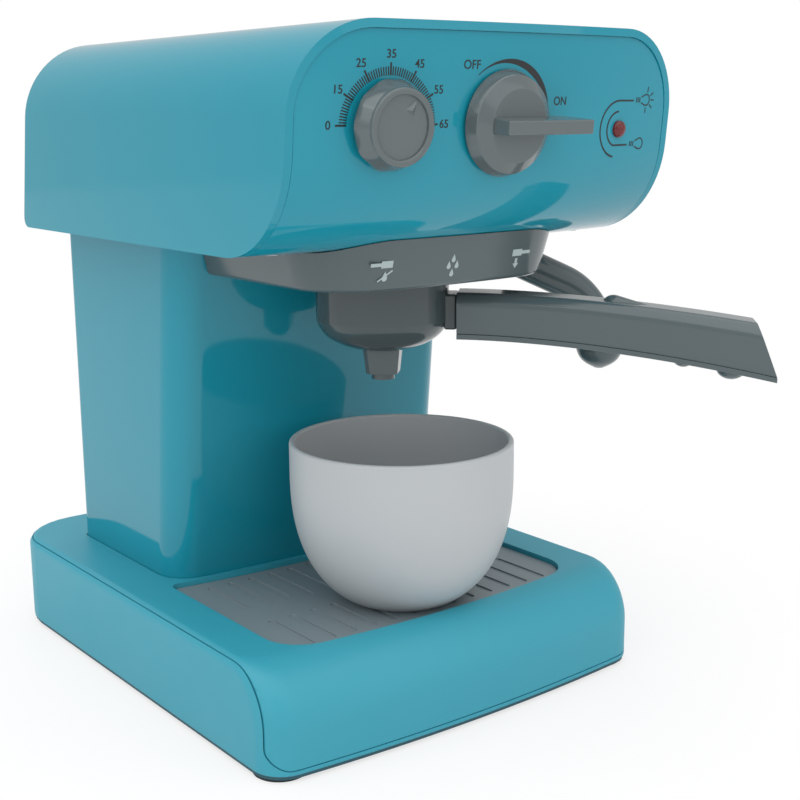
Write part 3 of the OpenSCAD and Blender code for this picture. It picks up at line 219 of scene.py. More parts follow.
def outline(half, front, back, sag, front_r, back_r, back_sag=0.0, steps=7, edge=12, cuts=()):
    """Closed outline, counter-clockwise from the front middle, with rounded corners."""
    corner_x = half - front_r
    kink = atan(2 * sag * corner_x / half**2)
    end_x = corner_x + front_r * sin(kink)
    corner_y = -front + bow(end_x, half, sag) + front_r * cos(kink)
    back_x = half - back_r
    back_y = back + bow(back_x, half, back_sag) - back_r
    right = [(x, -front + bow(x, half, sag)) for x in np.linspace(0, end_x, edge + 1)[:-1]]
    for a in np.linspace(kink - pi / 2, 0, steps + 1):
        right.append((corner_x + front_r * cos(a), corner_y + front_r * sin(a)))
    for a in np.linspace(0, pi / 2, steps + 1):
        right.append((back_x + back_r * cos(a), back_y + back_r * sin(a)))
    if back_sag:
        right += [(x, back + bow(x, half, back_sag)) for x in np.linspace(back_x, 0, edge + 1)[1:]]
    right += [(x, back) for x in cuts]
    left = [(-x, y) for x, y in reversed(right) if x > 1e-9]
    return right + left


def at(points, z):
    return [(x, y, z) for x, y in points]


def linked(name, data):
    """New object that holds the data, in the scene."""
    obj = bpy.data.objects.new(name, data)
    bpy.context.scene.collection.objects.link(obj)
    return obj


def mesh_object(name, points, faces):
    mesh = bpy.data.meshes.new(name)
    mesh.from_pydata([tuple(p) for p in points], [], faces)
    mesh.validate()
    return linked(name, mesh)


@contextmanager
def editing(mesh):
    """Opens the mesh for editing, and writes it back afterwards."""
    work = bmesh.new()
    work.from_mesh(mesh)
    yield work
    work.to_mesh(mesh)
    work.free()


def skin(name, rings, closed=True, caps=True, recalculate=False):
    """Surface through rings of equal length, which run counter-clockwise seen from the last one."""
    count = len(rings[0])
    points = [p for ring in rings for p in ring]
    faces = []
    for i in range(len(rings) - 1):
        for j in range(count if closed else count - 1):
            k = (j + 1) % count
            faces.append((i * count + j, i * count + k, (i + 1) * count + k, (i + 1) * count + j))
    if caps:
        last = (len(rings) - 1) * count
        faces.append(tuple(reversed(range(count))))
        faces.append(tuple(range(last, last + count)))
    return weld(mesh_object(name, points, faces), recalculate)


def weld(obj, recalculate=True):
    """Merges doubled points, so that poles and seams are closed."""
    with editing(obj.data) as work:
        bmesh.ops.remove_doubles(work, verts=work.verts, dist=1e-7)
        if recalculate:
            bmesh.ops.recalc_face_normals(work, faces=work.faces)
    return obj


def circle(radius, steps, centre=(0, 0)):
    turns = np.linspace(0, 2 * pi, steps, endpoint=False)
    return [(centre[0] + radius * cos(a), centre[1] + radius * sin(a)) for a in turns]


def lathe(name, profile, steps=96, centre=(0, 0)):
    """Closed solid turned round a vertical axis from (radius, height) points, listed upwards."""
    rings = [at(circle(r, steps, centre), z) for r, z in profile]
    return skin(name, rings, caps=False, recalculate=True)


def prism(name, plan, low, high):
    return skin(name, [at(plan, low), at(plan, high)])


def box(name, low, high):
    plan = [(low[0], low[1]), (high[0], low[1]), (high[0], high[1]), (low[0], high[1])]
    return prism(name, plan, low[2], high[2])


def cylinder(name, centre, radius, low, high, steps=96):
    return prism(name, circle(radius, steps, centre), low, high)


def evaluated(obj):
    """Mesh of the object with its modifiers applied."""
    graph = bpy.context.evaluated_depsgraph_get()
    return bpy.data.meshes.new_from_object(obj.evaluated_get(graph))


def apply(obj, kind, **settings):
    """Adds one modifier and turns its result into the object's plain mesh."""
    modifier = obj.modifiers.new(kind.lower(), kind)
    for name, value in settings.items():
        setattr(modifier, name, value)
    made, old = evaluated(obj), obj.data
    obj.modifiers.clear()
    obj.data = made
    bpy.data.meshes.remove(old)
    return obj


def combine(obj, operation, *others):
    """Exact boolean of obj with each of the others, which are used up."""
    for other in others:
        apply(obj, "BOOLEAN", operation=operation, solver="EXACT", object=other)
        bpy.data.objects.remove(other)
    return obj


def round_edges(obj, width, steps=2, limit=40):
    return apply(
        obj,
        "BEVEL",
        width=width,
        segments=steps,
        limit_method="ANGLE",
        angle_limit=radians(limit),
        use_clamp_overlap=True,
        miter_outer="MITER_ARC",
    )


def thicken(obj, wall):
    return apply(obj, "SOLIDIFY", thickness=wall, offset=-1, use_even_offset=True)


def place(obj, matrix):
    obj.data.transform(matrix)
    return obj


def finish(obj, body, look, slot, *nodes, limit=30):
    """Smooth shading with sharp edges kept, then the surface, the body and the nodes it stands for."""
    for polygon in obj.data.polygons:
        polygon.use_smooth = True
    obj.data.set_sharp_from_angle(angle=radians(limit))
    apply(obj, "WEIGHTED_NORMAL", keep_sharp=True)
    obj.data.materials.clear()
    obj.data.materials.append(surface(look))
    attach(obj, body)
    if nodes:
        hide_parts(*nodes)
    return obj


# ---- Materials --------------------------------------------------------------------------------


def add_node(tree, kind, inputs=None, **settings):
    """One node with its settings; an input is a value or the socket that feeds it."""
    node = tree.nodes.new(kind)
    for name, value in settings.items():
        setattr(node, name, value)
    for name, value in (inputs or {}).items():
        if isinstance(value, bpy.types.NodeSocket):
            tree.links.new(value, node.inputs[name])
        else:
            node.inputs[name].default_value = value
    return node


def maths(tree, operation, a, b):
    return add_node(tree, "ShaderNodeMath", {0: a, 1: b}, operation=operation).outputs[0]


def blank_tree(owner):
    """The node tree of a material or a world, emptied."""
    owner.use_nodes = True
    owner.node_tree.nodes.clear()
    return owner.node_tree


def tint(rgb, share):
    return tuple(min(1.0, c * share) for c in rgb) + (1.0,)


CLOUD = 45 * MM  # size of the colour clouds
GLOSS_SPREAD = 0.12  # by what share the roughness varies

# Name: colour field or sRGB code, roughness, size of the grain and its height in millimetres,
# strength of the colour clouds, and constant inputs of the shader
SURFACES = {
    # Injection-moulded ABS from a polished tool: even colour, clear crisp reflections
    "gloss_turquoise_abs": ("casing", 0.07, 1.1, 0.0008, 0.012, {"Specular IOR Level": 0.42}),
    # The same ABS from a finely eroded tool: soft gradients and broad highlights only; its colour is
    # made paler than the casing's, which paints part of the satin sheen into it
    "satin_turquoise_abs": ("base", 0.46, 0.6, 0.003, 0.012, {}),
    # Unpolished polypropylene: dull, almost no reflections; its dark teal is painted shade, the shade
    # under the casing's edge
    "dark_teal_polypropylene": ("underside", 0.55, 0.6, 0.02, 0.03, {}),
    # Dark grey ABS, half glossy: reflections with soft edges
    "half_gloss_grey_abs": ("trim", 0.16, 0.5, 0.002, 0.03, {}),
    # ABS with a little metal pigment: a paler grey with a slight sheen
    "silver_grey_abs": ("knob", 0.12, 0.5, 0.0015, 0.03, {"Metallic": 0.15}),
    # The housing's ABS, darker, from a polished tool: the darker tone is partly the basket's own
    # moulding and partly painted shade from the head above
    "dark_silver_grey_abs": ("basket", 0.13, 0.5, 0.0015, 0.03, {}),
    # Satin polypropylene: flat grey with a soft sheen at low angles
    "satin_grey_polypropylene": ("tray", 0.42, 0.6, 0.012, 0.03, {}),
    # Filled polypropylene: pale, slightly waxy, scatters a little light under its skin
    "pale_polypropylene": (
        "cup",
        0.42,
        0.8,
        0.008,
        0.01,
        {"Subsurface Weight": 0.06, "Subsurface Radius": (1 * MM, 0.9 * MM, 0.8 * MM)},
    ),
    # Pad-printing ink: a thin film, slightly duller than the casing
    "dark_pad_print": ("ink", 0.4, 0.3, 0.002, 0.03, {}),
    # The same ink in a pale tone for the marks on grey
    "pale_pad_print": ("pale_ink", 0.45, 0.3, 0.002, 0.03, {}),
    # Tinted polycarbonate: deep red with sharp small highlights
    "red_polycarbonate": ("lens", 0.08, 2, 0.001, 0.03, {}),
    # Zinc-plated steel: cool grey metal with a fine uneven gloss
    "zinc_plated_steel": ("#A9ADB0", 0.32, 0.4, 0.006, 0.03, {"Metallic": 1.0}),
    # Moulded rubber: dark and dull with a broad faint sheen
    "moulded_rubber": ("#1E2B30", 0.75, 0.5, 0.03, 0.03, {}),
    # Unpolished black ABS for what is inside the casing
    "black_abs": ("#17191B", 0.5, 0.5, 0.01, 0.03, {}),
    # Undyed nylon: creamy and slightly waxy
    "natural_nylon": ("#DDD8C6", 0.4, 0.6, 0.006, 0.03, {}),
    # Printed foil jacket of a dry cell, without any print
    "orange_foil_jacket": ("#C8752B", 0.28, 0.7, 0.004, 0.03, {"Metallic": 0.4}),
    # Glass-fibre board under green solder resist
    "green_laminate": ("#1E5B34", 0.3, 0.4, 0.006, 0.03, {}),
    # PVC insulation: smooth, slightly soft sheen
    "red_pvc_insulation": ("#A11F1B", 0.4, 0.5, 0.004, 0.03, {}),
    "black_pvc_insulation": ("#1A1A1C", 0.4, 0.5, 0.004, 0.03, {}),
}


def surface(name):
    """Moulded or worked surface: slight colour clouds, uneven gloss and a fine grain."""
    material = bpy.data.materials.get(name)
    if material:
        return material
    tone, roughness, grain, bump, mottle, shader = SURFACES[name]
    rgb = linear(tone) if tone.startswith("#") else getattr(bpy.context.scene.maker_finishes, tone)
    material = bpy.data.materials.new(name)
    tree = blank_tree(material)
    spot = add_node(tree, "ShaderNodeTexCoord").outputs["Object"]
    clouds = add_node(tree, "ShaderNodeTexNoise", {"Vector": spot, "Scale": 1 / CLOUD, "Detail": 3.0})
    mix = add_node(
        tree,
        "ShaderNodeMix",
        {0: clouds.outputs["Fac"], 6: tint(rgb, 1 - mottle), 7: tint(rgb, 1 + mottle)},
        data_type="RGBA",
    )
    span = {"Value": clouds.outputs["Fac"], "From Min": 0.3, "From Max": 0.7}
    span |= {"To Min": roughness * (1 - GLOSS_SPREAD), "To Max": roughness * (1 + GLOSS_SPREAD)}
    gloss = add_node(tree, "ShaderNodeMapRange", span)
    fine = {"Vector": spot, "Scale": 1 / (grain * MM), "Detail": 2.0}
    fine = add_node(tree, "ShaderNodeTexNoise", fine)
    height = {"Height": fine.outputs["Fac"], "Distance": bump * MM, "Strength": 1.0}
    relief = add_node(tree, "ShaderNodeBump", height)
    looks = {
        "Base Color": mix.outputs[2],
        "Roughness": gloss.outputs["Result"],
        "Normal": relief.outputs["Normal"],
        **shader,
    }
    shade = add_node(tree, "ShaderNodeBsdfPrincipled", looks)
    add_node(tree, "ShaderNodeOutputMaterial", {"Surface": shade.outputs[0]})
    return material


# ---- Base, tray and cup -----------------------------------------------------------------------


def base_block(s, name, inset=0.0):
    """The base's outer form as one solid, inset by a skin: rolled front, rounded edges."""
    low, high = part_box("base_shell")
    half, back, bottom, top = high.x - inset, high.y - inset, low.z, high.z - inset
    roll, edge_r, foot_r = s.roll - inset, s.edge_r - inset, 0.5 * MM
    levels = []
    for a in np.radians([0, 30, 60, 90]):
        side_in = foot_r * (1 - sin(a))
        levels.append((bottom + foot_r * (1 - cos(a)), side_in, side_in))
    turns = [*np.linspace(0, 60, 13), 63, 66, 69, 71, 73, 75, 77, 79, 81, 83, 85, 87, 88.5, 90]
    for a in np.radians(turns):
        z = top - roll + roll * sin(a)
        up = max(0.0, z - (top - edge_r))
        levels.append((z, roll * (1 - cos(a)), edge_r - sqrt(max(edge_r**2 - up**2, 0))))
    rings = []
    for z, front_in, side_in in levels:
        wide, shrink = half - side_in, inset + side_in
        front, sag = s.front - inset - front_in, bow(wide, high.x, s.sag)
        plan = outline(wide, front, back - side_in, sag, s.front_r - shrink, s.back_r - shrink)
        rings.append(at(plan, z))
    return skin(name, rings)


def cover_region(s, name, grow):
    """The space that the cover takes in the base, with rounded lower front corners."""
    low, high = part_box("base_shell")
    bottom = low.z + s.lip + s.seam - grow
    corner = s.cover_corner + grow
    half = high.x - s.rim - s.seam + grow
    back = high.y - s.rim - s.seam + grow
    turns = np.linspace(0, pi / 2, 9)
    levels = [(bottom + corner * (1 - cos(a)), corner * (1 - sin(a))) for a in turns]
    beyond, above = s.front + 30 * MM, high.z + 10 * MM
    back_r = s.back_r - s.rim - s.seam + grow
    rings = []
    for z, inset in [*levels, (above, 0.0)]:
        rings.append(at(outline(half - inset, beyond, back, 0, 1 * MM, back_r, steps=9), z))
    return skin(name, rings)


def tray_plan(s, grow=0.0):
    """Outline of the drip tray, grown by a clearance."""
    low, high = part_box("drip_tray")
    front, back = -low.y + grow, high.y - s.tray_back_sag + grow
    corner, heel = s.tray_corner + grow, 3 * MM + grow
    return outline(
        high.x + grow, front, back, s.tray_sag, corner, heel, s.tray_back_sag, steps=10, edge=16
    )


def column_plan(s, grow, z, cuts=()):
    """Outline of the column at a height; its front leans forward."""
    high, foot_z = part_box("column_shell")[1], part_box("base_shell")[1].z
    front, back = s.front + grow + (z - foot_z) * tan(s.lean), high.y + grow
    corner, heel = s.corner + grow, s.heel + grow
    return outline(high.x + grow, front, back, s.sag, corner, heel, steps=12, edge=16, cuts=cuts)


class MAKER_OT_base(bpy.types.Operator):
    """Build the base's shell and its rolled cover"""

    bl_idname = "maker.base"
    bl_label = "Base"

    def execute(self, context):
        s, c = context.scene.maker_base, context.scene.maker_column
        plastic = "satin_turquoise_abs"
        low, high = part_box("base_shell")
        tray_z, column_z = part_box("drip_tray")[0].z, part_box("column_shell")[0].z
        above, below = high.z + 5 * MM, low.z - 5 * MM

        cover = base_block(s, "base_cover_moulding")
        shell = linked("base_shell_moulding", cover.data.copy())
        combine(cover, "INTERSECT", cover_region(s, "region", 0))
        round_edges(cover, 0.2 * MM, 2)
        # a flange behind the seam closes it just under the surface
        flange = base_block(s, "flange", 0.5 * MM)
        combine(flange, "INTERSECT", cover_region(s, "region", 2 * s.seam))
        combine(cover, "UNION", flange)
        hollow = outline(high.x - 6 * MM, s.front - 24 * MM, high.y - 6 * MM, s.sag, 4 * MM, 20 * MM)
        hollow = prism("hollow", hollow, below, tray_z - s.wall)
        pocket = prism("pocket", tray_plan(s, GAP), tray_z, above)
        socket = prism("socket", column_plan(c, GAP, high.z), column_z, above)
        combine(cover, "DIFFERENCE", hollow, pocket, socket)
        finish(cover, "casing", plastic, "casing", "base_cover")

        half, front, back = high.x - s.wall - 0.1 * MM, s.front - s.wall, high.y - s.wall
        inside = outline(half, front, back, s.sag, 3 * MM, 22 * MM, steps=9)
        inside = prism("inside", inside, below, low.z + s.lip + 4 * MM)
        combine(shell, "DIFFERENCE", inside, cover_region(s, "region", s.seam))
        round_edges(shell, 0.2 * MM, 2)
        finish(shell, "casing", plastic, "casing", "base_shell")
        return {"FINISHED"}


def node_group(name, sockets):
    """New Geometry Nodes tree with the given inputs and a material."""
    tree = bpy.data.node_groups.new(name, "GeometryNodeTree")
    for label, value in sockets.items():
        kind = "NodeSocketInt" if isinstance(value, int) else "NodeSocketFloat"
        tree.interface.new_socket(label, in_out="INPUT", socket_type=kind).default_value = value
    tree.interface.new_socket("Material", in_out="INPUT", socket_type="NodeSocketMaterial")
    tree.interface.new_socket("Geometry", in_out="OUTPUT", socket_type="NodeSocketGeometry")
    return tree, add_node(tree, "NodeGroupInput").outputs


def repeat(tree, given, points, copy, **turn):
    """Ends the tree with a copy on each point, made real and given the material."""
    spots = {"Points": points, "Instance": copy, **turn}
    copies = add_node(tree, "GeometryNodeInstanceOnPoints", spots)
    real = add_node(tree, "GeometryNodeRealizeInstances", {0: copies.outputs[0]})
    paint = {"Geometry": real.outputs[0], "Material": given["Material"]}
    painted = add_node(tree, "GeometryNodeSetMaterial", paint)
    add_node(tree, "NodeGroupOutput", {"Geometry": painted.outputs[0]})


def vector(tree, **parts):
    return add_node(tree, "ShaderNodeCombineXYZ", parts).outputs[0]


def groove_tree(s):
    """Geometry Nodes tree: one row of round-ended bars along X."""
    sizes = {"Count": s.groove_count, "Pitch": s.groove_pitch, "Width": s.groove_width}
    tree, given = node_group("tray_grooves", {**sizes, "Length": 26 * MM, "Height": 4 * MM})
    reach = maths(tree, "SUBTRACT", given["Length"], given["Width"])
    half = maths(tree, "MULTIPLY", reach, 0.5)
    ends = {"Start": vector(tree, Y=maths(tree, "MULTIPLY", half, -1.0)), "End": vector(tree, Y=half)}
    spine = add_node(tree, "GeometryNodeCurvePrimitiveLine", ends)
    tips = add_node(tree, "GeometryNodeCurveToPoints", {0: spine.outputs[0], "Count": 2}, mode="COUNT")
    radius = maths(tree, "MULTIPLY", given["Width"], 0.5)
    post = {"Vertices": 24, "Radius": radius, "Depth": given["Height"]}
    end = add_node(tree, "GeometryNodeMeshCylinder", post, fill_type="NGON")
    pair = {"Points": tips.outputs[0], "Instance": end.outputs["Mesh"]}
    pair = add_node(tree, "GeometryNodeInstanceOnPoints", pair)
    size = vector(tree, X=given["Width"], Y=reach, Z=given["Height"])
    middle = add_node(tree, "GeometryNodeMeshCube", {"Size": size})
    whole = add_node(tree, "GeometryNodeMeshBoolean", operation="UNION", solver="EXACT")
    tree.links.new(middle.outputs["Mesh"], whole.inputs["Mesh 2"])
    pair = add_node(tree, "GeometryNodeRealizeInstances", {0: pair.outputs[0]})
    tree.links.new(pair.outputs[0], whole.inputs["Mesh 2"])
    span = maths(tree, "MULTIPLY", maths(tree, "SUBTRACT", given["Count"], 1.0), given["Pitch"])
    row = {"Start Location": vector(tree, X=maths(tree, "MULTIPLY", span, -0.5))}
    row = {"Count": given["Count"], **row, "Offset": vector(tree, X=given["Pitch"])}
    row = add_node(tree, "GeometryNodeMeshLine", row)
    repeat(tree, given, row.outputs[0], whole.outputs[0])
    return tree


def grown(name, tree, **inputs):
    """Mesh made by a Geometry Nodes tree with the given inputs."""
    obj = mesh_object(name, [(0, 0, 0)], [])
    modifier = obj.modifiers.new("nodes", "NODES")
    modifier.node_group = tree
    for item in tree.interface.items_tree:
        if item.in_out == "INPUT" and item.name in inputs:
            modifier[item.identifier] = inputs[item.name]
    made = evaluated(obj)
    obj.modifiers.clear()
    obj.data = made
    return obj


class MAKER_OT_tray(bpy.types.Operator):
    """Build the lift-out drip tray with its two rows of grooves"""

    bl_idname = "maker.tray"
    bl_label = "Drip tray"

    def execute(self, context):
        s = context.scene.maker_base
        plastic = "satin_grey_polypropylene"
        low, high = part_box("drip_tray")
        tray = prism("drip_tray_moulding", tray_plan(s), low.z, high.z)
        tree = groove_tree(s)
        # middle and length of the back and the front row
        for y, reach in ((-25 * MM, 28 * MM), (-64.5 * MM, 26 * MM)):
            bars = grown("bars", tree, Length=reach, Material=surface(plastic))
            lift = high.z - s.groove_depth + 2 * MM
            combine(tray, "DIFFERENCE", place(bars, Matrix.Translation((0, y, lift))))
        round_edges(tray, 0.3 * MM, 2, limit=50)
        finish(tray, "drip_tray", plastic, "tray_grey", "drip_tray")
        return {"FINISHED"}


class MAKER_OT_cup(bpy.types.Operator):
    """Build the round play cup"""

    bl_idname = "maker.cup"
    bl_label = "Cup"

    def execute(self, context):
        low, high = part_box("cup")
        rim_r = (high.x - low.x) / 2
        centre = (0.0, (low.y + high.y) / 2)
        foot_r, wall, band, power = 18.6 * MM, 2 * MM, 11 * MM, 2.4
        bowl = high.z - low.z - band
        full = bowl / (1 - (foot_r / rim_r) ** power) ** (1 / power)

        def out(h):
            return rim_r if h >= bowl else rim_r * (1 - ((bowl - h) / full) ** power) ** (1 / power)

        rise = [bowl * (1 - cos(a)) for a in np.linspace(0, pi / 2, 40)]
        foot = foot_r - 1.8 * MM
        # underside with a shallow recess, outer wall, rounded lip, then down the inside
        profile = [(0, low.z + 0.7 * MM), (foot - 1.8 * MM, low.z + 0.7 * MM), (foot - 0.6 * MM, low.z)]
        profile += [(foot + 0.6 * MM, low.z), (foot + 1.5 * MM, low.z + 0.25 * MM)]
        profile += [(out(h), low.z + h) for h in rise if out(h) > foot_r + 0.25 * MM or h > 0.4 * MM]
        lip = wall / 2
        for a in np.linspace(0, pi, 9):
            profile.append((rim_r - lip + lip * cos(a), high.z - lip + lip * sin(a)))
        profile += [(out(h) - wall, low.z + h + wall * (1 - h / bowl)) for h in reversed(rise)]
        profile.append((0, low.z + wall))
        cup = lathe("cup_moulding", profile, 128, centre)
        finish(cup, "cup", "pale_polypropylene", "cup_white", "cup")
        return {"FINISHED"}


# ---- Column and head --------------------------------------------------------------------------


class MAKER_OT_column(bpy.types.Operator):
    """Build the column with the opening for its rear panel"""

    bl_idname = "maker.column"
    bl_label = "Column"

    def execute(self, context):
        s = context.scene.maker_column
        low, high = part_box("column_shell")
        panel_low, panel_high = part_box("column_back")
        edge_x = panel_high.x + GAP
        heights = (low.z, panel_low.z - GAP, panel_high.z + GAP, high.z)
        rings = [at(column_plan(s, 0, z, cuts=(edge_x, 0)), z) for z in heights]
        column = skin("column_moulding", rings, caps=False)
        with editing(column.data) as work:
            opening = []
            for face in work.faces:
                middle = face.calc_center_median()
                behind = abs(middle.y - high.y) < 0.1 * MM
                if behind and abs(middle.x) < edge_x and heights[1] < middle.z < heights[2]:
                    opening.append(face)
            bmesh.ops.delete(work, geom=opening, context="FACES")
        thicken(column, s.wall)
        round_edges(column, 0.4 * MM)
        finish(column, "casing", "gloss_turquoise_abs", "casing", "column_shell")
        return {"FINISHED"}


def head_levels(s, side, front, top, fine=5, under=0.0):
    """Height, front line and half width of the head at each level, inset as given."""
    low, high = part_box("head_shell")
    bottom, peak, half = low.z + under, high.z - top, high.x - side
    roll = s.roll - max(front, under)
    edge = s.top_r - max(side, top)

    def front_y(z):
        return tan(s.lean) * (high.z - z) - s.front + front / cos(s.lean)

    roll_z = bottom + roll
    roll_y = front_y(roll_z) + roll / cos(s.lean)
    levels = []
    for a in np.linspace(0, pi / 2 - s.lean, round(90 / fine)):
        levels.append((roll_z - roll * cos(a), roll_y - roll * sin(a), half))
    for a in np.linspace(0, pi / 2, round(90 / fine)):
        z = peak - edge + edge * sin(a)
        levels.append((z, front_y(z), half - edge + edge * cos(a)))
    return levels


def bowed(s, y, half, shares, z):
    """Row of points across the head, bowed as its front is."""
    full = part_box("head_shell")[1].x
    return [(x * half, y + bow(x * half, full, s.sag), z) for x in shares]


def panel_sheet(s, name, side, front, wall):
    """Rolled sheet that follows the head's front, inset from its sides and from its front."""
    panel = head_levels(s, side, front, side, fine=3)
    shares = np.linspace(1, -1, 49)
    z, y, half = panel[0]
    rows = [bowed(s, v, half, shares, z) for v in np.linspace(-s.split, y, 5)[:-1]]
    rows += [bowed(s, y, half, shares, z) for z, y, half in panel]
    sheet = skin(name, rows, closed=False, caps=False)
    sheet.data.flip_normals()
    return thicken(sheet, wall)


class MAKER_OT_head(bpy.types.Operator):
    """Build the head's hood: sides, top and rear"""

    bl_idname = "maker.head"
    bl_label = "Head"

    def execute(self, context):
        s = context.scene.maker_head
        low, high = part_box("head_shell")
        rings = []
        corner = 3 * MM
        for z, y, half in head_levels(s, 0, 0, 0):
            heel = 0.0
            if z < low.z + s.heel:
                heel = s.heel - sqrt(max(s.heel**2 - (low.z + s.heel - z) ** 2, 0))
            back = s.back - tan(s.back_lean) * (z - low.z) - heel
            start = y + bow(half, high.x, s.sag)
            side = [(half, v) for v in np.linspace(start, back - corner, 17)]
            turn = [
                (half - corner + corner * cos(a), back - corner + corner * sin(a))
                for a in np.linspace(0, pi / 2, 6)[1:]
            ]
            across = [(x, back) for x in np.linspace(half - corner, 0, 9)[1:]]
            right = side + turn + across
            rings.append(at(right + [(-x, v) for x, v in reversed(right[:-1])], z))
        hood = skin("head_hood", rings, closed=False, caps=False)
        z, y, half = head_levels(s, 0, 0, 0)[-1]
        front = [Vector(p) for p in bowed(s, y, half, np.linspace(-1, 1, 17)[1:-1], z)]
        with editing(hood.data) as work:
            work.verts.ensure_lookup_table()
            top_ring = [Vector(p) for p in rings[-1]]
            close = [min(work.verts, key=lambda v, p=p: (v.co - p).length_squared) for p in top_ring]
            work.faces.new(close + [work.verts.new(p) for p in front])
        thicken(hood, s.wall)
        round_edges(hood, 0.5 * MM, 3)
        plastic = "gloss_turquoise_abs"
        finish(hood, "casing", plastic, "casing", "head_shell")

        panel = panel_sheet(s, "front_panel_moulding", s.rim, s.recess, s.wall)
        round_edges(panel, 0.3 * MM, 3)
        # a flange behind the panel's edge closes the seam just under the surface
        flange = panel_sheet(s, "flange", s.wall + 0.02 * MM, s.recess + 0.2 * MM, 1 * MM)
        combine(panel, "UNION", flange)
        finish(panel, "casing", plastic, "casing", "front_panel")
        return {"FINISHED"}


# ---- Brewing group ----------------------------------------------------------------------------


def brew_matrix(s):
    """Frame on the brewing axis with X along the handle."""
    return Matrix.Translation((0, -s.axis_y, 0)) @ Matrix.Rotation(-s.handle_angle, 4, "Z")


class MAKER_OT_group(bpy.types.Operator):
    """Build the housing under the head and the filter basket"""

    bl_idname = "maker.group"
    bl_label = "Brewing group"

    def execute(self, context):
        s, c, h = context.scene.maker_group, context.scene.maker_column, context.scene.maker_head
        low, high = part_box("group_housing")
        edge, wall = 1.6 * MM, 2.2 * MM

        def level(z, inset):
            grow = (z - low.z) * tan(s.draft) - inset
            half, front, corner = s.width / 2 + grow, s.front + grow, s.corner + grow
            return at(outline(half, front, 0, s.sag, corner, 2 * MM, steps=14, edge=16), z)

        turns = np.linspace(0, pi / 2, 6)
        rings = [level(low.z + edge * (1 - cos(a)), edge * (1 - sin(a))) for a in turns]
        housing = skin("group_housing_moulding", rings + [level(high.z, 0)])
        head_low, head_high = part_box("head_shell")
        layers = []
        for z, y, wide in head_levels(h, 8 * MM, h.recess - GAP, 8 * MM, under=-GAP):
            line = [(x, y + bow(x, head_high.x, h.sag)) for x in np.linspace(-wide, wide, 33)]
            layers.append(at(line + [(wide, -h.split), (-wide, -h.split)], z))
        panel = skin("panel", layers, recalculate=True)
        rear_low = (-head_high.x, -h.split - 1 * MM, head_low.z)
        behind = box("behind", rear_low, (head_high.x, 10 * MM, head_high.z))
        axis = (0, -s.axis_y)
        inner = skin("inner", [level(low.z + wall, wall), level(high.z + 1 * MM, wall)])
        bore_r, ring_r = s.basket_r + 1.4 * MM, s.basket_r + 5.65 * MM
        combine(inner, "DIFFERENCE", cylinder("wall", axis, ring_r + 2.4 * MM, low.z, high.z + 9 * MM))
        bore = cylinder("bore", axis, bore_r, low.z - 1 * MM, high.z)
        seat = cylinder("seat", axis, ring_r, low.z + wall, high.z + 1 * MM)
        heights = (low.z - 2 * MM, high.z + 2 * MM)
        column = skin("column", [at(column_plan(c, GAP, z), z) for z in heights])
        combine(housing, "DIFFERENCE", panel, behind, inner, bore, seat, column)
        round_edges(housing, 0.3 * MM, 2, limit=50)
        finish(housing, "casing", "half_gloss_grey_abs", "grey_trim", "group_housing")

        low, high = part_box("filter_basket")
        r, foot_r, inside = s.basket_r, s.basket_foot, s.basket_r - s.basket_wall
        rim = high.z - s.basket_skirt
        profile = [(0, low.z), (foot_r - 1 * MM, low.z), (foot_r + 0.4 * MM, low.z + 0.4 * MM)]
        # the bowl swells a little between the foot and the rim
        for t in np.linspace(0.08, 0.92, 10):
            swell = s.basket_swell * sin(pi * t)
            profile.append((foot_r + (r - foot_r) * t + swell, low.z + (rim - low.z) * t - 0.4 * swell))
        profile += [(r - 0.35 * MM, rim - 0.3 * MM), (r - 0.05 * MM, rim + 0.3 * MM), (r, rim + 1 * MM)]
        profile += [(r, high.z - 0.4 * MM), (r - 0.4 * MM, high.z), (inside + 0.4 * MM, high.z)]
        profile += [(inside, high.z - 0.4 * MM), (inside, rim + 0.8 * MM)]
        profile += [(foot_r, low.z + 2 * MM), (0, low.z + 2 * MM)]
        basket = lathe("filter_basket_moulding", profile, 128)
        neck_low = (inside + 0.6 * MM, -6 * MM, rim - 2.4 * MM)
        neck = box("neck", neck_low, (s.handle_start - 0.2 * MM, 6 * MM, rim + 9.7 * MM))
        round_edges(neck, 0.8 * MM, 3)
        tongue_low = (inside + 0.8 * MM, -4.5 * MM, rim - 1.3 * MM)
        tongue = box("tongue", tongue_low, (s.handle_start + 20 * MM, 4.5 * MM, rim + 7.1 * MM))
        lugs = []
        for side in (-1, 1):
            near, far = sorted((side * (inside + 0.5 * MM), side * (r + 2.6 * MM)))
            lug_low, lug_high = high.z - 4.5 * MM, high.z - 1.5 * MM
            lugs.append(box("lug", (-4.5 * MM, near, lug_low), (4.5 * MM, far, lug_high)))
        combine(basket, "UNION", neck, tongue, *lugs)
        void = cylinder("void", (0, 0), inside - 0.05 * MM, rim + 1 * MM, high.z + 1 * MM)
        combine(basket, "DIFFERENCE", void)
        round_edges(basket, 0.25 * MM, 2, limit=50)
        place(basket, brew_matrix(s))
        finish(basket, "portafilter", "dark_silver_grey_abs", "metallic_grey", "filter_basket")
        return {"FINISHED"}


def handle_lines(s):
    """Heights of the handle's top and lower edges at a distance from the brewing axis."""
    span = s.handle_end - s.handle_start
    top_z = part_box("handle_shell")[1].z
    curve = 1.72

    def top(d):
        return top_z - s.handle_droop * (max(d - s.handle_start, 0) / span) ** curve

    def low(d):
        share = max(d - s.handle_start, 0) / (span + s.handle_rake)
        return top_z - s.handle_h - s.handle_belly * share**curve

    return span, top, low


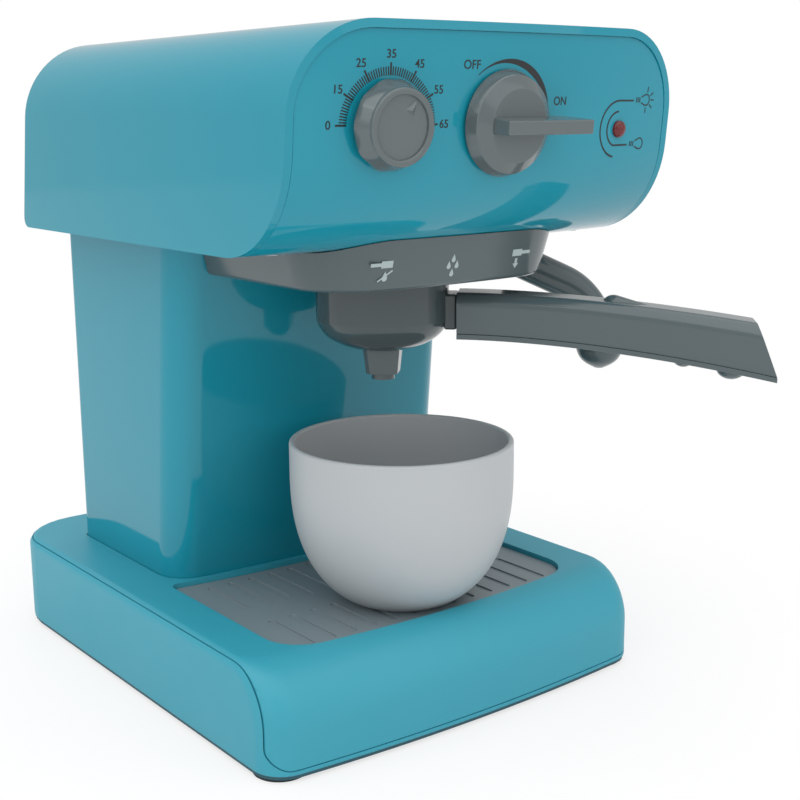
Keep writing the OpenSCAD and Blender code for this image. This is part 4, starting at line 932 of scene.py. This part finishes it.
def hull(name, points):
    """Smallest convex solid round points."""
    work = bmesh.new()
    for point in points:
        work.verts.new(point)
    bmesh.ops.remove_doubles(work, verts=work.verts, dist=1e-6)
    bmesh.ops.convex_hull(work, input=work.verts)
    spare = [vert for vert in work.verts if not vert.link_faces]
    bmesh.ops.delete(work, geom=spare, context="VERTS")
    bmesh.ops.recalc_face_normals(work, faces=work.faces)
    mesh = bpy.data.meshes.new(name)
    work.to_mesh(mesh)
    work.free()
    return linked(name, mesh)


def ball(centre, radii, roof=1.0):
    """Points on an ellipsoid, none of them higher above its middle than the roof."""
    points = []
    for a in np.linspace(-pi / 2, pi / 2, 25):
        for b in np.linspace(0, 2 * pi, 48, endpoint=False):
            x, y, z = radii[0] * cos(a) * cos(b), radii[1] * cos(a) * sin(b), radii[2] * sin(a)
            points.append((centre[0] + x, centre[1] + y, centre[2] + min(z, roof)))
    return points


def rounded(corners, radii, steps=6):
    """Open line through corners (across, down) with each inner corner rounded."""
    line = [Vector(corners[0])]
    for before, corner, after, radius in zip(corners, corners[1:], corners[2:], radii):
        corner = Vector(corner)
        to_before, to_after = Vector(before) - corner, Vector(after) - corner
        reach = min(radius, to_before.length * 0.45, to_after.length * 0.45)
        start = corner + to_before.normalized() * reach
        end = corner + to_after.normalized() * reach
        for t in np.linspace(0, 1, steps + 1):
            line.append(start * (1 - t) ** 2 + corner * 2 * t * (1 - t) + end * t**2)
    line.append(Vector(corners[-1]))
    return line


class MAKER_OT_handle(bpy.types.Operator):
    """Build the lever handle and the strip that closes it underneath"""

    bl_idname = "maker.handle"
    bl_label = "Handle"

    def execute(self, context):
        s = context.scene.maker_group
        span, top, low = handle_lines(s)
        half, plate = s.handle_half, 1.8 * MM
        rings = []
        for t in np.linspace(0, 1, 61):
            d_top = s.handle_start + t * span
            d_low = s.handle_start + t * (span + s.handle_rake)
            peak, foot = top(d_top), low(d_low) + plate + 0.03 * MM
            tall = peak - foot
            # across, down: top flat, upper flank, ridge, lower flank, foot
            corners = [(0, 0), (half * 0.68, 0), (half, 0.21 * tall), (half * 0.94, 0.88 * tall)]
            line = rounded([*corners, (half * 0.92, tall)], (1.4 * MM, 1.8 * MM, 1 * MM))
            right = [(d_top + v.y / tall * (d_low - d_top), v.x, peak - v.y) for v in line]
            rings.append(right + [(x, -y, z) for x, y, z in reversed(right) if y > 1e-9])
        grip = skin("handle_grip", rings, recalculate=True)
        round_edges(grip, 0.2 * MM, 2, limit=50)
        thumb = []
        for d, r, lift in ((78.5 * MM, 4.3 * MM, 2.0 * MM), (89.5 * MM, 1.6 * MM, 0)):
            thumb += ball((d, 0, top(d) + lift - r), (r, r, r))
        combine(grip, "UNION", hull("thumb_rest", thumb))
        place(grip, brew_matrix(s))
        finish(grip, "portafilter", "half_gloss_grey_abs", "grey_trim", "handle_shell")

        rings = []
        under, over = half * 0.92, half * 0.92 + 0.4 * MM
        for d in np.linspace(s.handle_start, s.handle_end + s.handle_rake, 73):
            z = low(d)
            rings.append([(d, under, z), (d, over, z + plate), (d, -over, z + plate), (d, -under, z)])
        strip = skin("handle_strip", rings, recalculate=True)
        round_edges(strip, 0.15 * MM, 2, limit=50)
        for d, reach, deep in ((102.2 * MM, 3.4 * MM, 2.2 * MM), (118.2 * MM, 5 * MM, 3.3 * MM)):
            rest = ball((d, 0, low(d) + 0.4 * MM), (reach, 5 * MM, deep + 0.4 * MM), 0.6 * MM)
            combine(strip, "UNION", hull("finger_rest", rest))
        for d in (62 * MM, 110 * MM):
            sink = cylinder("sink", (d, 0), 3 * MM, low(d) - 3 * MM, low(d) + 0.9 * MM, 48)
            combine(strip, "DIFFERENCE", sink)
        place(strip, brew_matrix(s))
        finish(strip, "portafilter", "half_gloss_grey_abs", "grey_trim", "handle_plate")
        return {"FINISHED"}


# ---- Dials, lamp and wand ---------------------------------------------------------------------


def panel_y(h, x, z):
    """Where the front panel's surface lies at x and z."""
    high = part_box("head_shell")[1]
    return bow(x, high.x, h.sag) - h.front + h.recess / cos(h.lean) + tan(h.lean) * (high.z - z)


def on_panel(h, x, z):
    """Frame that stands square on the panel, with Z out of it."""
    turn = Matrix.Rotation(pi / 2 + h.lean, 4, "X")
    return Matrix.Translation((x, panel_y(h, x, z), z)) @ turn


def fluted(name, profile, flutes, outer, depth, steps=180):
    """Turned solid whose wall is cut back by even flutes, which run out towards its top."""
    rings = []
    for r, z in profile:
        ring = []
        for a in np.linspace(0, 2 * pi, steps, endpoint=False):
            wall = outer - depth * (0.5 - 0.5 * cos(flutes * a))
            radius = (r + wall - sqrt((r - wall) ** 2 + (0.15 * MM) ** 2)) / 2 if r > outer / 2 else r
            ring.append((radius * cos(a), radius * sin(a), z))
        rings.append(ring)
    return skin(name, rings, caps=False, recalculate=True)


class MAKER_OT_dials(bpy.types.Operator):
    """Build the timer knob and the power knob with its lever"""

    bl_idname = "maker.dials"
    bl_label = "Dials"

    def execute(self, context):
        d, h = context.scene.maker_dials, context.scene.maker_head
        plastic = "silver_grey_abs"
        foot, face, dish = 1.3 * MM, 7.5 * MM, 0.9 * MM
        r0, r1, rim = d.timer_r, 11 * MM, 2.1 * MM
        profile = [(0, foot), (r0 - 0.4 * MM, foot), (r0 - 0.1 * MM, foot + 0.3 * MM)]
        for t in np.linspace(0.1, 1, 10):
            profile.append((r0 + (r1 - r0) * t, foot + t * (face - dish - foot)))
        for a in np.linspace(0, pi, 15):
            across, up = abs(cos(a)) ** 0.7, sin(a) ** 0.7
            across = across if a < pi / 2 else -across
            profile.append((r1 - rim / 2 * (1 - across), face - dish * (1 - up)))
        profile += [(r1 - rim - 0.2 * MM, face - dish), (0, face - dish)]
        knob = fluted("timer_knob_moulding", profile, 10, r0, 0.5 * MM)
        tip, root, wide = r1 - rim - 0.5 * MM, r1 - rim - 4.3 * MM, 1.7 * MM
        top, ground = face - 0.1 * MM, face - dish - 0.05 * MM
        points = [(-wide, root, ground), (wide, root, ground), (0, tip, ground)]
        points += [(0, root + 0.7 * MM, top), (0, tip - 0.7 * MM, top)]
        faces = [(0, 1, 2), (0, 3, 1), (1, 3, 4, 2), (0, 2, 4, 3)]
        pointer = weld(mesh_object("pointer", points, faces))
        combine(knob, "UNION", place(pointer, Matrix.Rotation(-radians(30), 4, "Z")))
        shaft = cylinder("shaft", (0, 0), 2.55 * MM, foot - 1 * MM, face - 2.7 * MM, 48)
        combine(knob, "DIFFERENCE", shaft)
        place(knob, on_panel(h, -d.timer_x, d.axis_z))
        finish(knob, "timer_dial", plastic, "metallic_grey", "timer_knob", limit=42)

        r, side_r, disc_r, disc = d.power_r, d.power_r - 1.4 * MM, 10.7 * MM, 7.2 * MM
        profile = [(0, 0.6 * MM), (r - 0.4 * MM, 0.6 * MM), (r - 0.15 * MM, 0.9 * MM)]
        profile += [(side_r + 0.05 * MM, 4.3 * MM), (side_r - 0.25 * MM, 4.68 * MM)]
        profile += [(disc_r + 0.3 * MM, disc - 0.21 * MM), (disc_r - 0.1 * MM, disc), (0, disc)]
        knob = lathe("power_knob_moulding", profile, 128)
        # the lever's outline: distance from the axis, and distance from the panel
        line = [(-10.2, 5.5), (10.6, 4), (14.6, 4), (16.4, 4.35), (18, 4.95), (19.6, 5.75), (21, 6.7)]
        line += [(22.3, 7.9), (23.4, 9.3), (24.2, 10.7), (24.6, 12), (24.6, 13.4), (-9.7, 13.4)]
        thick = [2.1 + 0.5 * (13.4 - up) / 9.4 for x, up in line]
        rings = [
            [(x * MM, side * half * MM, up * MM) for (x, up), half in zip(line, thick)]
            for side in (1, -1)
        ]
        lever = skin("lever", rings, recalculate=True)
        round_edges(lever, 0.45 * MM, 3)
        combine(knob, "UNION", lever)
        combine(knob, "DIFFERENCE", cylinder("shaft", (0, 0), 3.05 * MM, 0, 5 * MM, 48))
        place(knob, on_panel(h, -d.power_x, d.axis_z))
        finish(knob, "power_dial", plastic, "metallic_grey", "power_knob", limit=32)
        return {"FINISHED"}


class MAKER_OT_lamp(bpy.types.Operator):
    """Build the red lens of the lamp"""

    bl_idname = "maker.lamp"
    bl_label = "Lamp"

    def execute(self, context):
        d, h = context.scene.maker_dials, context.scene.maker_head
        r, deep = d.lamp_r, -4.1 * MM
        profile = [(0, deep), (r + 1 * MM, deep), (r + 1 * MM, deep + 1 * MM), (r, deep + 1.1 * MM)]
        profile += [(r, 0.45 * MM)]
        profile += [(r * cos(a), 0.45 * MM + 1.7 * MM * sin(a)) for a in np.linspace(0.15, pi / 2, 9)]
        lens = lathe("lamp_lens_moulding", profile, 64)
        place(lens, on_panel(h, d.lamp_x, d.lamp_z))
        finish(lens, "casing", "red_polycarbonate", "lens_red", "lamp_lens", limit=50)
        return {"FINISHED"}


def flowing(points, steps):
    """Smooth curve through points, with a few steps between each two."""
    points = [Vector(p) for p in points]
    last = len(points) - 1
    line = []
    for i in range(last):
        a, b, c, d = points[max(i - 1, 0)], points[i], points[i + 1], points[min(i + 2, last)]
        for t in np.linspace(0, 1, steps, endpoint=False).tolist():
            bend = 2 * a - 5 * b + 4 * c - d + t * (3 * (b - c) + d - a)
            line.append(b + 0.5 * t * (c - a + t * bend))
    return line + points[-1:]


class MAKER_OT_wand(bpy.types.Operator):
    """Build the swivelling wand and its sleeve"""

    bl_idname = "maker.wand"
    bl_label = "Wand"

    def execute(self, context):
        d = context.scene.maker_dials
        pivot_at = Matrix.Translation((d.wand_x, -d.wand_y, 0)) @ Matrix.Rotation(-d.wand_angle, 4, "Z")
        low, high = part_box("wand_tip")
        hub_r, wand_top = d.wand_r + 0.1 * MM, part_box("steam_wand")[1].z
        axis_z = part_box("head_shell")[0].z - d.wand_elbow
        bend, reach = d.wand_bend, d.wand_reach
        run = reach - bend + bend * sin(d.wand_dip)
        centre_z = axis_z - run * tan(d.wand_dip) - bend * cos(d.wand_dip)
        path = [(0, axis_z), (run * 0.5, axis_z - run * 0.5 * tan(d.wand_dip))]
        for a in np.linspace(pi / 2 - d.wand_dip, 0, 25):
            path.append((reach - bend + bend * cos(a), centre_z + bend * sin(a)))
        path.append((reach, low.z + 4 * MM))
        path = [Vector((x, 0, z)) for x, z in path]
        rings = []
        for i, p in enumerate(path):
            along = (path[min(i + 1, len(path) - 1)] - path[max(i - 1, 0)]).normalized()
            out = along.cross(Vector((0, 1, 0))) * -1
            ring = []
            for a in np.linspace(0, 2 * pi, 48, endpoint=False):
                # two shallow grooves run along the outer side of the bend
                away = min(abs(a - radians(35)), abs(a - radians(325)))
                r = d.wand_r - 0.35 * MM * exp(-((away / radians(6)) ** 2))
                ring.append(p + out * r * cos(a) + Vector((0, 1, 0)) * r * sin(a))
            rings.append(ring)
        wand = skin("steam_wand_moulding", rings, recalculate=True)
        collar = [(hub_r * cos(a), axis_z + hub_r * sin(a)) for a in np.linspace(-pi / 2, 0, 13)]
        collar += [(hub_r, wand_top - 0.3 * MM), (hub_r - 0.3 * MM, wand_top), (0, wand_top)]
        combine(wand, "UNION", lathe("hub", collar, 64))
        pivot = cylinder("pivot", (0, 0), 4.52 * MM, wand_top - 4 * MM, wand_top + 5 * MM, 48)
        combine(wand, "DIFFERENCE", pivot)
        place(wand, pivot_at)
        finish(wand, "steam_wand", "half_gloss_grey_abs", "metallic_grey", "steam_wand")

        r, tall = 8.8 * MM, high.z - low.z
        corners = [(0.2, 0), (0.5, 0.15), (0.72, 0.31), (0.87, 0.5), (0.97, 0.74), (1, 0.97)]
        profile = [(0, 3 * MM), (1.1 * MM, 3 * MM), (1.1 * MM, 0.2 * MM), (1.3 * MM, 0)]
        profile += [(r * p.x, r * p.y) for p in flowing(corners, 4)]
        profile += [(r, tall - 0.4 * MM), (r - 0.4 * MM, tall)]
        profile += [(d.wand_r + 0.3 * MM, tall), (0, tall - 0.5 * MM)]
        tip = lathe("wand_sleeve", [(x, low.z + z) for x, z in profile], 96, (reach, 0))
        place(tip, pivot_at)
        finish(tip, "steam_wand", "half_gloss_grey_abs", "grey_trim", "wand_tip")
        return {"FINISHED"}


# ---- Printed marks ----------------------------------------------------------------------------

PRINT = 0.06 * MM  # how far a printed mark stands off its surface


def flat_shape(name, outlines):
    """Flat filled mesh in the XY plane from closed outlines."""
    points, faces = [], []
    for line in outlines:
        start = len(points)
        points += [(x, y, 0) for x, y in line]
        faces.append(tuple(range(start, len(points))))
    obj = mesh_object(name, points, faces)
    with editing(obj.data) as work:
        bmesh.ops.recalc_face_normals(work, faces=work.faces)
        for face in work.faces:
            if face.normal.z < 0:
                face.normal_flip()
        bmesh.ops.triangulate(work, faces=work.faces)
    return obj


def stroke(line, width):
    """Outline of a stroke of even width along a line."""
    line = [Vector(p) for p in line]
    left, right = [], []
    for i, p in enumerate(line):
        along = (line[min(i + 1, len(line) - 1)] - line[max(i - 1, 0)]).normalized()
        side = Vector((-along.y, along.x)) * width / 2
        left.append(tuple(p + side))
        right.append(tuple(p - side))
    return left + right[::-1]


def arc(centre, r, start, end, steps=24):
    """Points on an arc; angles in degrees clockwise from straight up."""
    return [
        (centre[0] + r * sin(a), centre[1] + r * cos(a))
        for a in np.radians(np.linspace(start, end, steps + 1))
    ]


def letters(name, text, centre, tall):
    """Plain sans-serif characters as a flat mesh, centred on a point."""
    curve = bpy.data.curves.new(name, "FONT")
    curve.body = text
    curve.size = tall / 0.72
    curve.align_x, curve.align_y = "CENTER", "CENTER"
    curve.offset = 0.03 * MM
    words = linked(name, curve)
    mesh = evaluated(words)
    bpy.data.objects.remove(words)
    return place(linked(name, mesh), Matrix.Translation((*centre, 0)))


def joined(name, parts):
    """One mesh object from several, which are used up."""
    work = bmesh.new()
    for part in parts:
        work.from_mesh(part.data)
        bpy.data.objects.remove(part)
    mesh = bpy.data.meshes.new(name)
    work.to_mesh(mesh)
    work.free()
    return linked(name, mesh)


def print_on(obj, surface_y, look, slot):
    """Lays a flat mark, drawn in x and height, on the casing and gives it the ink's thickness."""
    longest = 2.5 * MM
    with editing(obj.data) as work:
        for _ in range(4):
            edges = [e for e in work.edges if e.calc_length() > longest]
            if edges:
                bmesh.ops.subdivide_edges(work, edges=edges, cuts=1)
                bmesh.ops.triangulate(work, faces=work.faces)
        for vert in work.verts:
            x, z = vert.co.x, vert.co.y
            vert.co = Vector((x, surface_y(x, z) - PRINT, z))
    apply(obj, "SOLIDIFY", thickness=PRINT * 1.5, offset=-1)
    finish(obj, "casing", look, slot)


def tick_tree():
    """Geometry Nodes tree: radial ticks on an arc, in the XY plane; angles in degrees."""
    reach = {"Inner": 13.5 * MM, "Outer": 17 * MM, "Width": 0.5 * MM}
    tree, given = node_group("dial_ticks", {"Count": 7, "Start": -90.0, "End": 90.0, **reach})
    line = add_node(tree, "GeometryNodeMeshLine", {"Count": given["Count"]}).outputs[0]
    index = add_node(tree, "GeometryNodeInputIndex").outputs[0]
    share = maths(tree, "DIVIDE", index, maths(tree, "SUBTRACT", given["Count"], 1.0))
    swing = maths(tree, "SUBTRACT", given["End"], given["Start"])
    turn = maths(tree, "ADD", given["Start"], maths(tree, "MULTIPLY", share, swing))
    turn = maths(tree, "MULTIPLY", turn, -pi / 180)
    tall = maths(tree, "SUBTRACT", given["Outer"], given["Inner"])
    out = maths(tree, "MULTIPLY", maths(tree, "ADD", given["Outer"], given["Inner"]), 0.5)
    bar = {"Size X": given["Width"], "Size Y": tall, "Vertices X": 2, "Vertices Y": 2}
    bar = add_node(tree, "GeometryNodeMeshGrid", bar).outputs["Mesh"]
    bar = {"Geometry": bar, "Translation": vector(tree, Y=out)}
    bar = add_node(tree, "GeometryNodeTransform", bar).outputs[0]
    home = {"Geometry": line, "Position": (0.0, 0.0, 0.0)}
    home = add_node(tree, "GeometryNodeSetPosition", home).outputs[0]
    repeat(tree, given, home, bar, Rotation=vector(tree, Z=turn))
    return tree


class MAKER_OT_marks(bpy.types.Operator):
    """Print the dial scales, the lamp's symbols and the marks on the housing"""

    bl_idname = "maker.marks"
    bl_label = "Printed marks"

    def timer_scale(self, d, ink):
        centre, tree = (-d.timer_x, d.axis_z), tick_tree()
        major = grown("major", tree, Count=7, Width=0.55 * MM, Material=ink)
        minor = grown("minor", tree, Count=61, Outer=15.9 * MM, Width=0.34 * MM, Material=ink)
        parts = [place(p, Matrix.Translation((*centre, 0))) for p in (major, minor)]
        numerals = {"0": -90, "15": -60, "25": -30, "35": 0, "45": 30, "55": 60, "65": 90}
        for text, turn in numerals.items():
            spot = arc(centre, 19.2 * MM, turn, turn, 1)[0]
            parts.append(letters("numeral", text, spot, 2.4 * MM))
        return joined("timer_scale_print", parts)

    def power_scale(self, d):
        centre = (-d.power_x, d.axis_z)
        thick = 1.9 * MM
        inner, outer = [], []
        for share in np.linspace(0, 1, 33):
            turn = -38.3 + 113.7 * share
            half = thick / 2 * sin(pi * share**1.6) + 0.1 * MM
            middle = 17.7 * MM + 0.6 * MM * share
            inner += arc(centre, middle - half, turn, turn, 1)[:1]
            outer += arc(centre, middle + half, turn, turn, 1)[:1]
        parts = [flat_shape("crescent", [outer + inner[::-1]])]
        parts.append(letters("off", "OFF", (-15.8 * MM, 213.6 * MM), 2.6 * MM))
        parts.append(letters("on", "ON", (20.7 * MM, 203.3 * MM), 2.6 * MM))
        return joined("power_scale_print", parts)

    def lamp_signs(self, d):
        centre = (d.lamp_x, d.lamp_z)
        width = 0.55 * MM
        x, z = centre
        outer = [(x + 6.9 * MM, z + 8.9 * MM)] + arc(centre, 8.9 * MM, 0, -171, 28)
        inner = arc(centre, 5.5 * MM, -3, -160, 20) + [(x + 5.4 * MM, z - 5.1 * MM)]
        shapes = [stroke(outer, width), stroke(inner, width)]
        # two bulbs, of which the upper one shines
        for right, up, rays in ((13.6, 9.1, (10, 57, 90, 128, 181)), (12.1, -4.8, ())):
            middle = x, z = centre[0] + right * MM, centre[1] + up * MM
            bulb = [(x - 2.6 * MM, z - 0.9 * MM), (x - 0.6 * MM, z - 1.7 * MM)]
            bulb += arc(middle, 1.75 * MM, 200, -20, 16)
            shapes.append(stroke([*bulb, (x - 2.6 * MM, z + 0.9 * MM)], 0.4 * MM))
            for k in range(3):
                foot = x - (3.5 + 0.85 * k) * MM
                line = [(foot, z - 0.8 * MM), (foot + 0.1 * MM, z + 0.8 * MM)]
                shapes.append(stroke(line, 0.42 * MM))
            for turn in rays:
                near, far = (arc(middle, r, turn, turn, 1)[0] for r in (2.45 * MM, 4.2 * MM))
                shapes.append(stroke([near, far], 0.4 * MM))
        return flat_shape("lamp_signs_print", shapes)

    def housing_signs(self):
        def block(x, z, corners):
            return [(x + right * MM, z + up * MM) for right, up in corners]

        def holder(x, z, side):
            body = [(0, -1.1), (side * 4.2, -1.1), (side * 4.2, 1.1), (0, 1.1)]
            lever = [(side * 4.2, -0.55), (side * 8, -0.55), (side * 8, 0.55), (side * 4.2, 0.55)]
            return [block(x, z, body), block(x, z, lever)]

        def drop(x, z, tall):
            r = tall * 0.3
            return arc((x, z - tall * 0.2), r, 60, 300, 14) + [(x, z + tall / 2)]

        x, z = -31.5 * MM, 155.2 * MM
        shapes = holder(x + 4 * MM, z, -1)
        shapes.append(drop(x + 1.6 * MM, z - 3.7 * MM, 3.2 * MM))
        shapes.append(stroke(block(x, z, [(-0.8, -5.2), (4.2, -2)]), 0.5 * MM))
        for spot in block(-4 * MM, 153 * MM, ((0, 2.4), (-1.6, 0.3), (1.6, 0.3), (0, -2.2))):
            shapes.append(drop(*spot, 2.6 * MM))
        x = 21.5 * MM
        shapes += holder(x, z, 1)
        # arrow: shaft, then head
        shapes.append(block(x, z, [(1.7, -1.9), (2.7, -1.9), (2.7, -3.6), (1.7, -3.6)]))
        shapes.append(block(x, z, [(0.9, -3.6), (3.5, -3.6), (2.2, -5.2)]))
        return flat_shape("housing_signs_print", shapes)

    def execute(self, context):
        d, h = context.scene.maker_dials, context.scene.maker_head
        g, low = context.scene.maker_group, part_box("group_housing")[0]

        def housing_y(x, z):
            grow = (z - low.z) * tan(g.draft)
            return -g.front - grow + bow(x, g.width / 2 + grow, g.sag)

        ink = "dark_pad_print"
        for mark in (self.timer_scale(d, surface(ink)), self.power_scale(d), self.lamp_signs(d)):
            print_on(mark, lambda x, z: panel_y(h, x, z), ink, "casing")
        print_on(self.housing_signs(), housing_y, "pale_pad_print", "grey_trim")
        return {"FINISHED"}


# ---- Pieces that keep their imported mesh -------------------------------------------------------


class MAKER_OT_hardware(bpy.types.Operator):
    """Give every remaining piece of the frame its finish"""

    bl_idname = "maker.hardware"
    bl_label = "Hardware and inner pieces"

    def execute(self, context):
        by_slot = {
            "casing": "gloss_turquoise_abs",
            "underside": "dark_teal_polypropylene",
            "grey_trim": "half_gloss_grey_abs",
            "metallic_grey": "silver_grey_abs",
            "tray_grey": "satin_grey_polypropylene",
            "cup_white": "pale_polypropylene",
            "lens_red": "red_polycarbonate",
            "inner_black": "black_abs",
            "nylon": "natural_nylon",
            "foot_rubber": "moulded_rubber",
            "steel": "zinc_plated_steel",
            "cell_jacket": "orange_foil_jacket",
            "board_green": "green_laminate",
            "wire_red": "red_pvc_insulation",
            "wire_black": "black_pvc_insulation",
        }
        for part in frame["record"]["subparts"]:
            node = frame["nodes"][part["node"]]
            node.data.materials.clear()
            node.data.materials.append(surface(by_slot[part["material_slot"]]))
        return {"FINISHED"}


# ---- Stage ------------------------------------------------------------------------------------


def white_seen(tree, lit, share, shine):
    """Shader that the camera sees, by a share, as plain white, and reflections by a part of it."""
    path = add_node(tree, "ShaderNodeLightPath").outputs
    mirrored = maths(tree, "MAXIMUM", path["Is Glossy Ray"], path["Is Transmission Ray"])
    mirrored = maths(tree, "MULTIPLY", mirrored, shine)
    seen = maths(tree, "MAXIMUM", path["Is Camera Ray"], mirrored)
    white = add_node(tree, "ShaderNodeEmission", {"Color": (1, 1, 1, 1), "Strength": 1.0})
    factor = maths(tree, "MULTIPLY", seen, share)
    return add_node(tree, "ShaderNodeMixShader", {0: factor, 1: lit, 2: white.outputs[0]}).outputs[0]


class MAKER_OT_stage(bpy.types.Operator):
    """Set up the pale floor, the soft lights and the camera"""

    bl_idname = "maker.stage"
    bl_label = "Stage"

    def execute(self, context):
        scene, wide = context.scene, 3.0
        corners = [(-wide, -wide, 0), (wide, -wide, 0), (wide, wide, 0), (-wide, wide, 0)]
        floor = mesh_object("floor", corners, [(0, 1, 2, 3)])
        paper = bpy.data.materials.new("white_paper")
        tree = blank_tree(paper)
        matt = add_node(tree, "ShaderNodeBsdfDiffuse", {"Color": (0.9, 0.9, 0.9, 1)})
        spot = add_node(tree, "ShaderNodeTexCoord").outputs["Object"]
        away = add_node(tree, "ShaderNodeVectorMath", {0: spot}, operation="LENGTH").outputs["Value"]
        # plain white far from the object, partly so near it, where its shadow falls
        span = {"Value": away, "From Min": 0.14, "From Max": 0.34, "To Min": 0.7, "To Max": 1.0}
        share = add_node(tree, "ShaderNodeMapRange", span, interpolation_type="SMOOTHSTEP")
        seen = white_seen(tree, matt.outputs[0], share.outputs["Result"], 0.6)
        add_node(tree, "ShaderNodeOutputMaterial", {"Surface": seen})
        floor.data.materials.append(paper)

        scene.world = bpy.data.worlds.new("studio")
        tree = blank_tree(scene.world)
        dim = add_node(tree, "ShaderNodeBackground", {"Color": (1, 1, 1, 1), "Strength": 0.6})
        add_node(tree, "ShaderNodeOutputWorld", {"Surface": white_seen(tree, dim.outputs[0], 1.0, 0.2)})

        # name, place, size, power: a broad top light, and softer ones from the left and the front
        lamps = (
            ("top_light", (-0.15, -0.1, 1.4), (2.0, 2.0), 17.0),
            ("left_light", (-1.1, -0.35, 0.62), (1.0, 1.0), 3.1),
            ("front_light", (0.35, -1.2, 0.68), (1.8, 1.2), 3.8),
        )
        aim = Vector((0, -0.02, 0.11))
        for name, spot, size, power in lamps:
            data = bpy.data.lights.new(name, "AREA")
            data.shape = "RECTANGLE"
            data.size, data.size_y = size
            data.energy = power
            lamp = linked(name, data)
            lamp.location = spot
            lamp.rotation_euler = (aim - Vector(spot)).to_track_quat("-Z", "Y").to_euler()

        data = bpy.data.cameras.new("camera")
        data.sensor_width = 36.0
        data.lens = 60.57
        camera = scene.camera = linked("camera", data)
        azimuth, pitch, roll = radians(37.752), radians(12.145), radians(-0.452)
        forward = Vector((sin(azimuth) * cos(pitch), cos(azimuth) * cos(pitch), -sin(pitch)))
        right = Vector((cos(azimuth), -sin(azimuth), 0))
        up = right.cross(forward)
        tilted = right * cos(roll) + up * sin(roll)
        raised = up * cos(roll) - right * sin(roll)
        turn = Matrix((tilted, raised, -forward)).transposed().to_4x4()
        camera.matrix_world = Matrix.Translation((-276.9 * MM, -416.0 * MM, 201.0 * MM)) @ turn
        scene.view_settings.view_transform = "Standard"
        return {"FINISHED"}


# ---- Add-on -----------------------------------------------------------------------------------

OPERATORS = (
    MAKER_OT_hardware,
    MAKER_OT_base,
    MAKER_OT_tray,
    MAKER_OT_cup,
    MAKER_OT_column,
    MAKER_OT_head,
    MAKER_OT_group,
    MAKER_OT_handle,
    MAKER_OT_dials,
    MAKER_OT_lamp,
    MAKER_OT_wand,
    MAKER_OT_marks,
    MAKER_OT_stage,
)


class MAKER_PT_panel(bpy.types.Panel):
    """Buttons that build each part of the coffee maker"""

    bl_idname = "MAKER_PT_panel"
    bl_label = "Coffee Maker"
    bl_space_type = "VIEW_3D"
    bl_region_type = "UI"
    bl_category = "Coffee Maker"

    def draw(self, context):
        for operator in OPERATORS:
            self.layout.operator(operator.bl_idname)


GROUPS = {
    "maker_base": BaseSizes,
    "maker_column": ColumnSizes,
    "maker_head": HeadSizes,
    "maker_group": GroupSizes,
    "maker_dials": DialSizes,
    "maker_finishes": Finishes,
}


def register():
    for kind in (*GROUPS.values(), *OPERATORS, MAKER_PT_panel):
        bpy.utils.register_class(kind)
    for name, kind in GROUPS.items():
        setattr(bpy.types.Scene, name, PointerProperty(type=kind))


def unregister():
    for name in GROUPS:
        delattr(bpy.types.Scene, name)
    for kind in reversed((*GROUPS.values(), *OPERATORS, MAKER_PT_panel)):
        bpy.utils.unregister_class(kind)


def main():
    register()
    for operator in OPERATORS:
        group, name = operator.bl_idname.split(".")
        getattr(getattr(bpy.ops, group), name)()


if __name__ == "__main__":
    main()
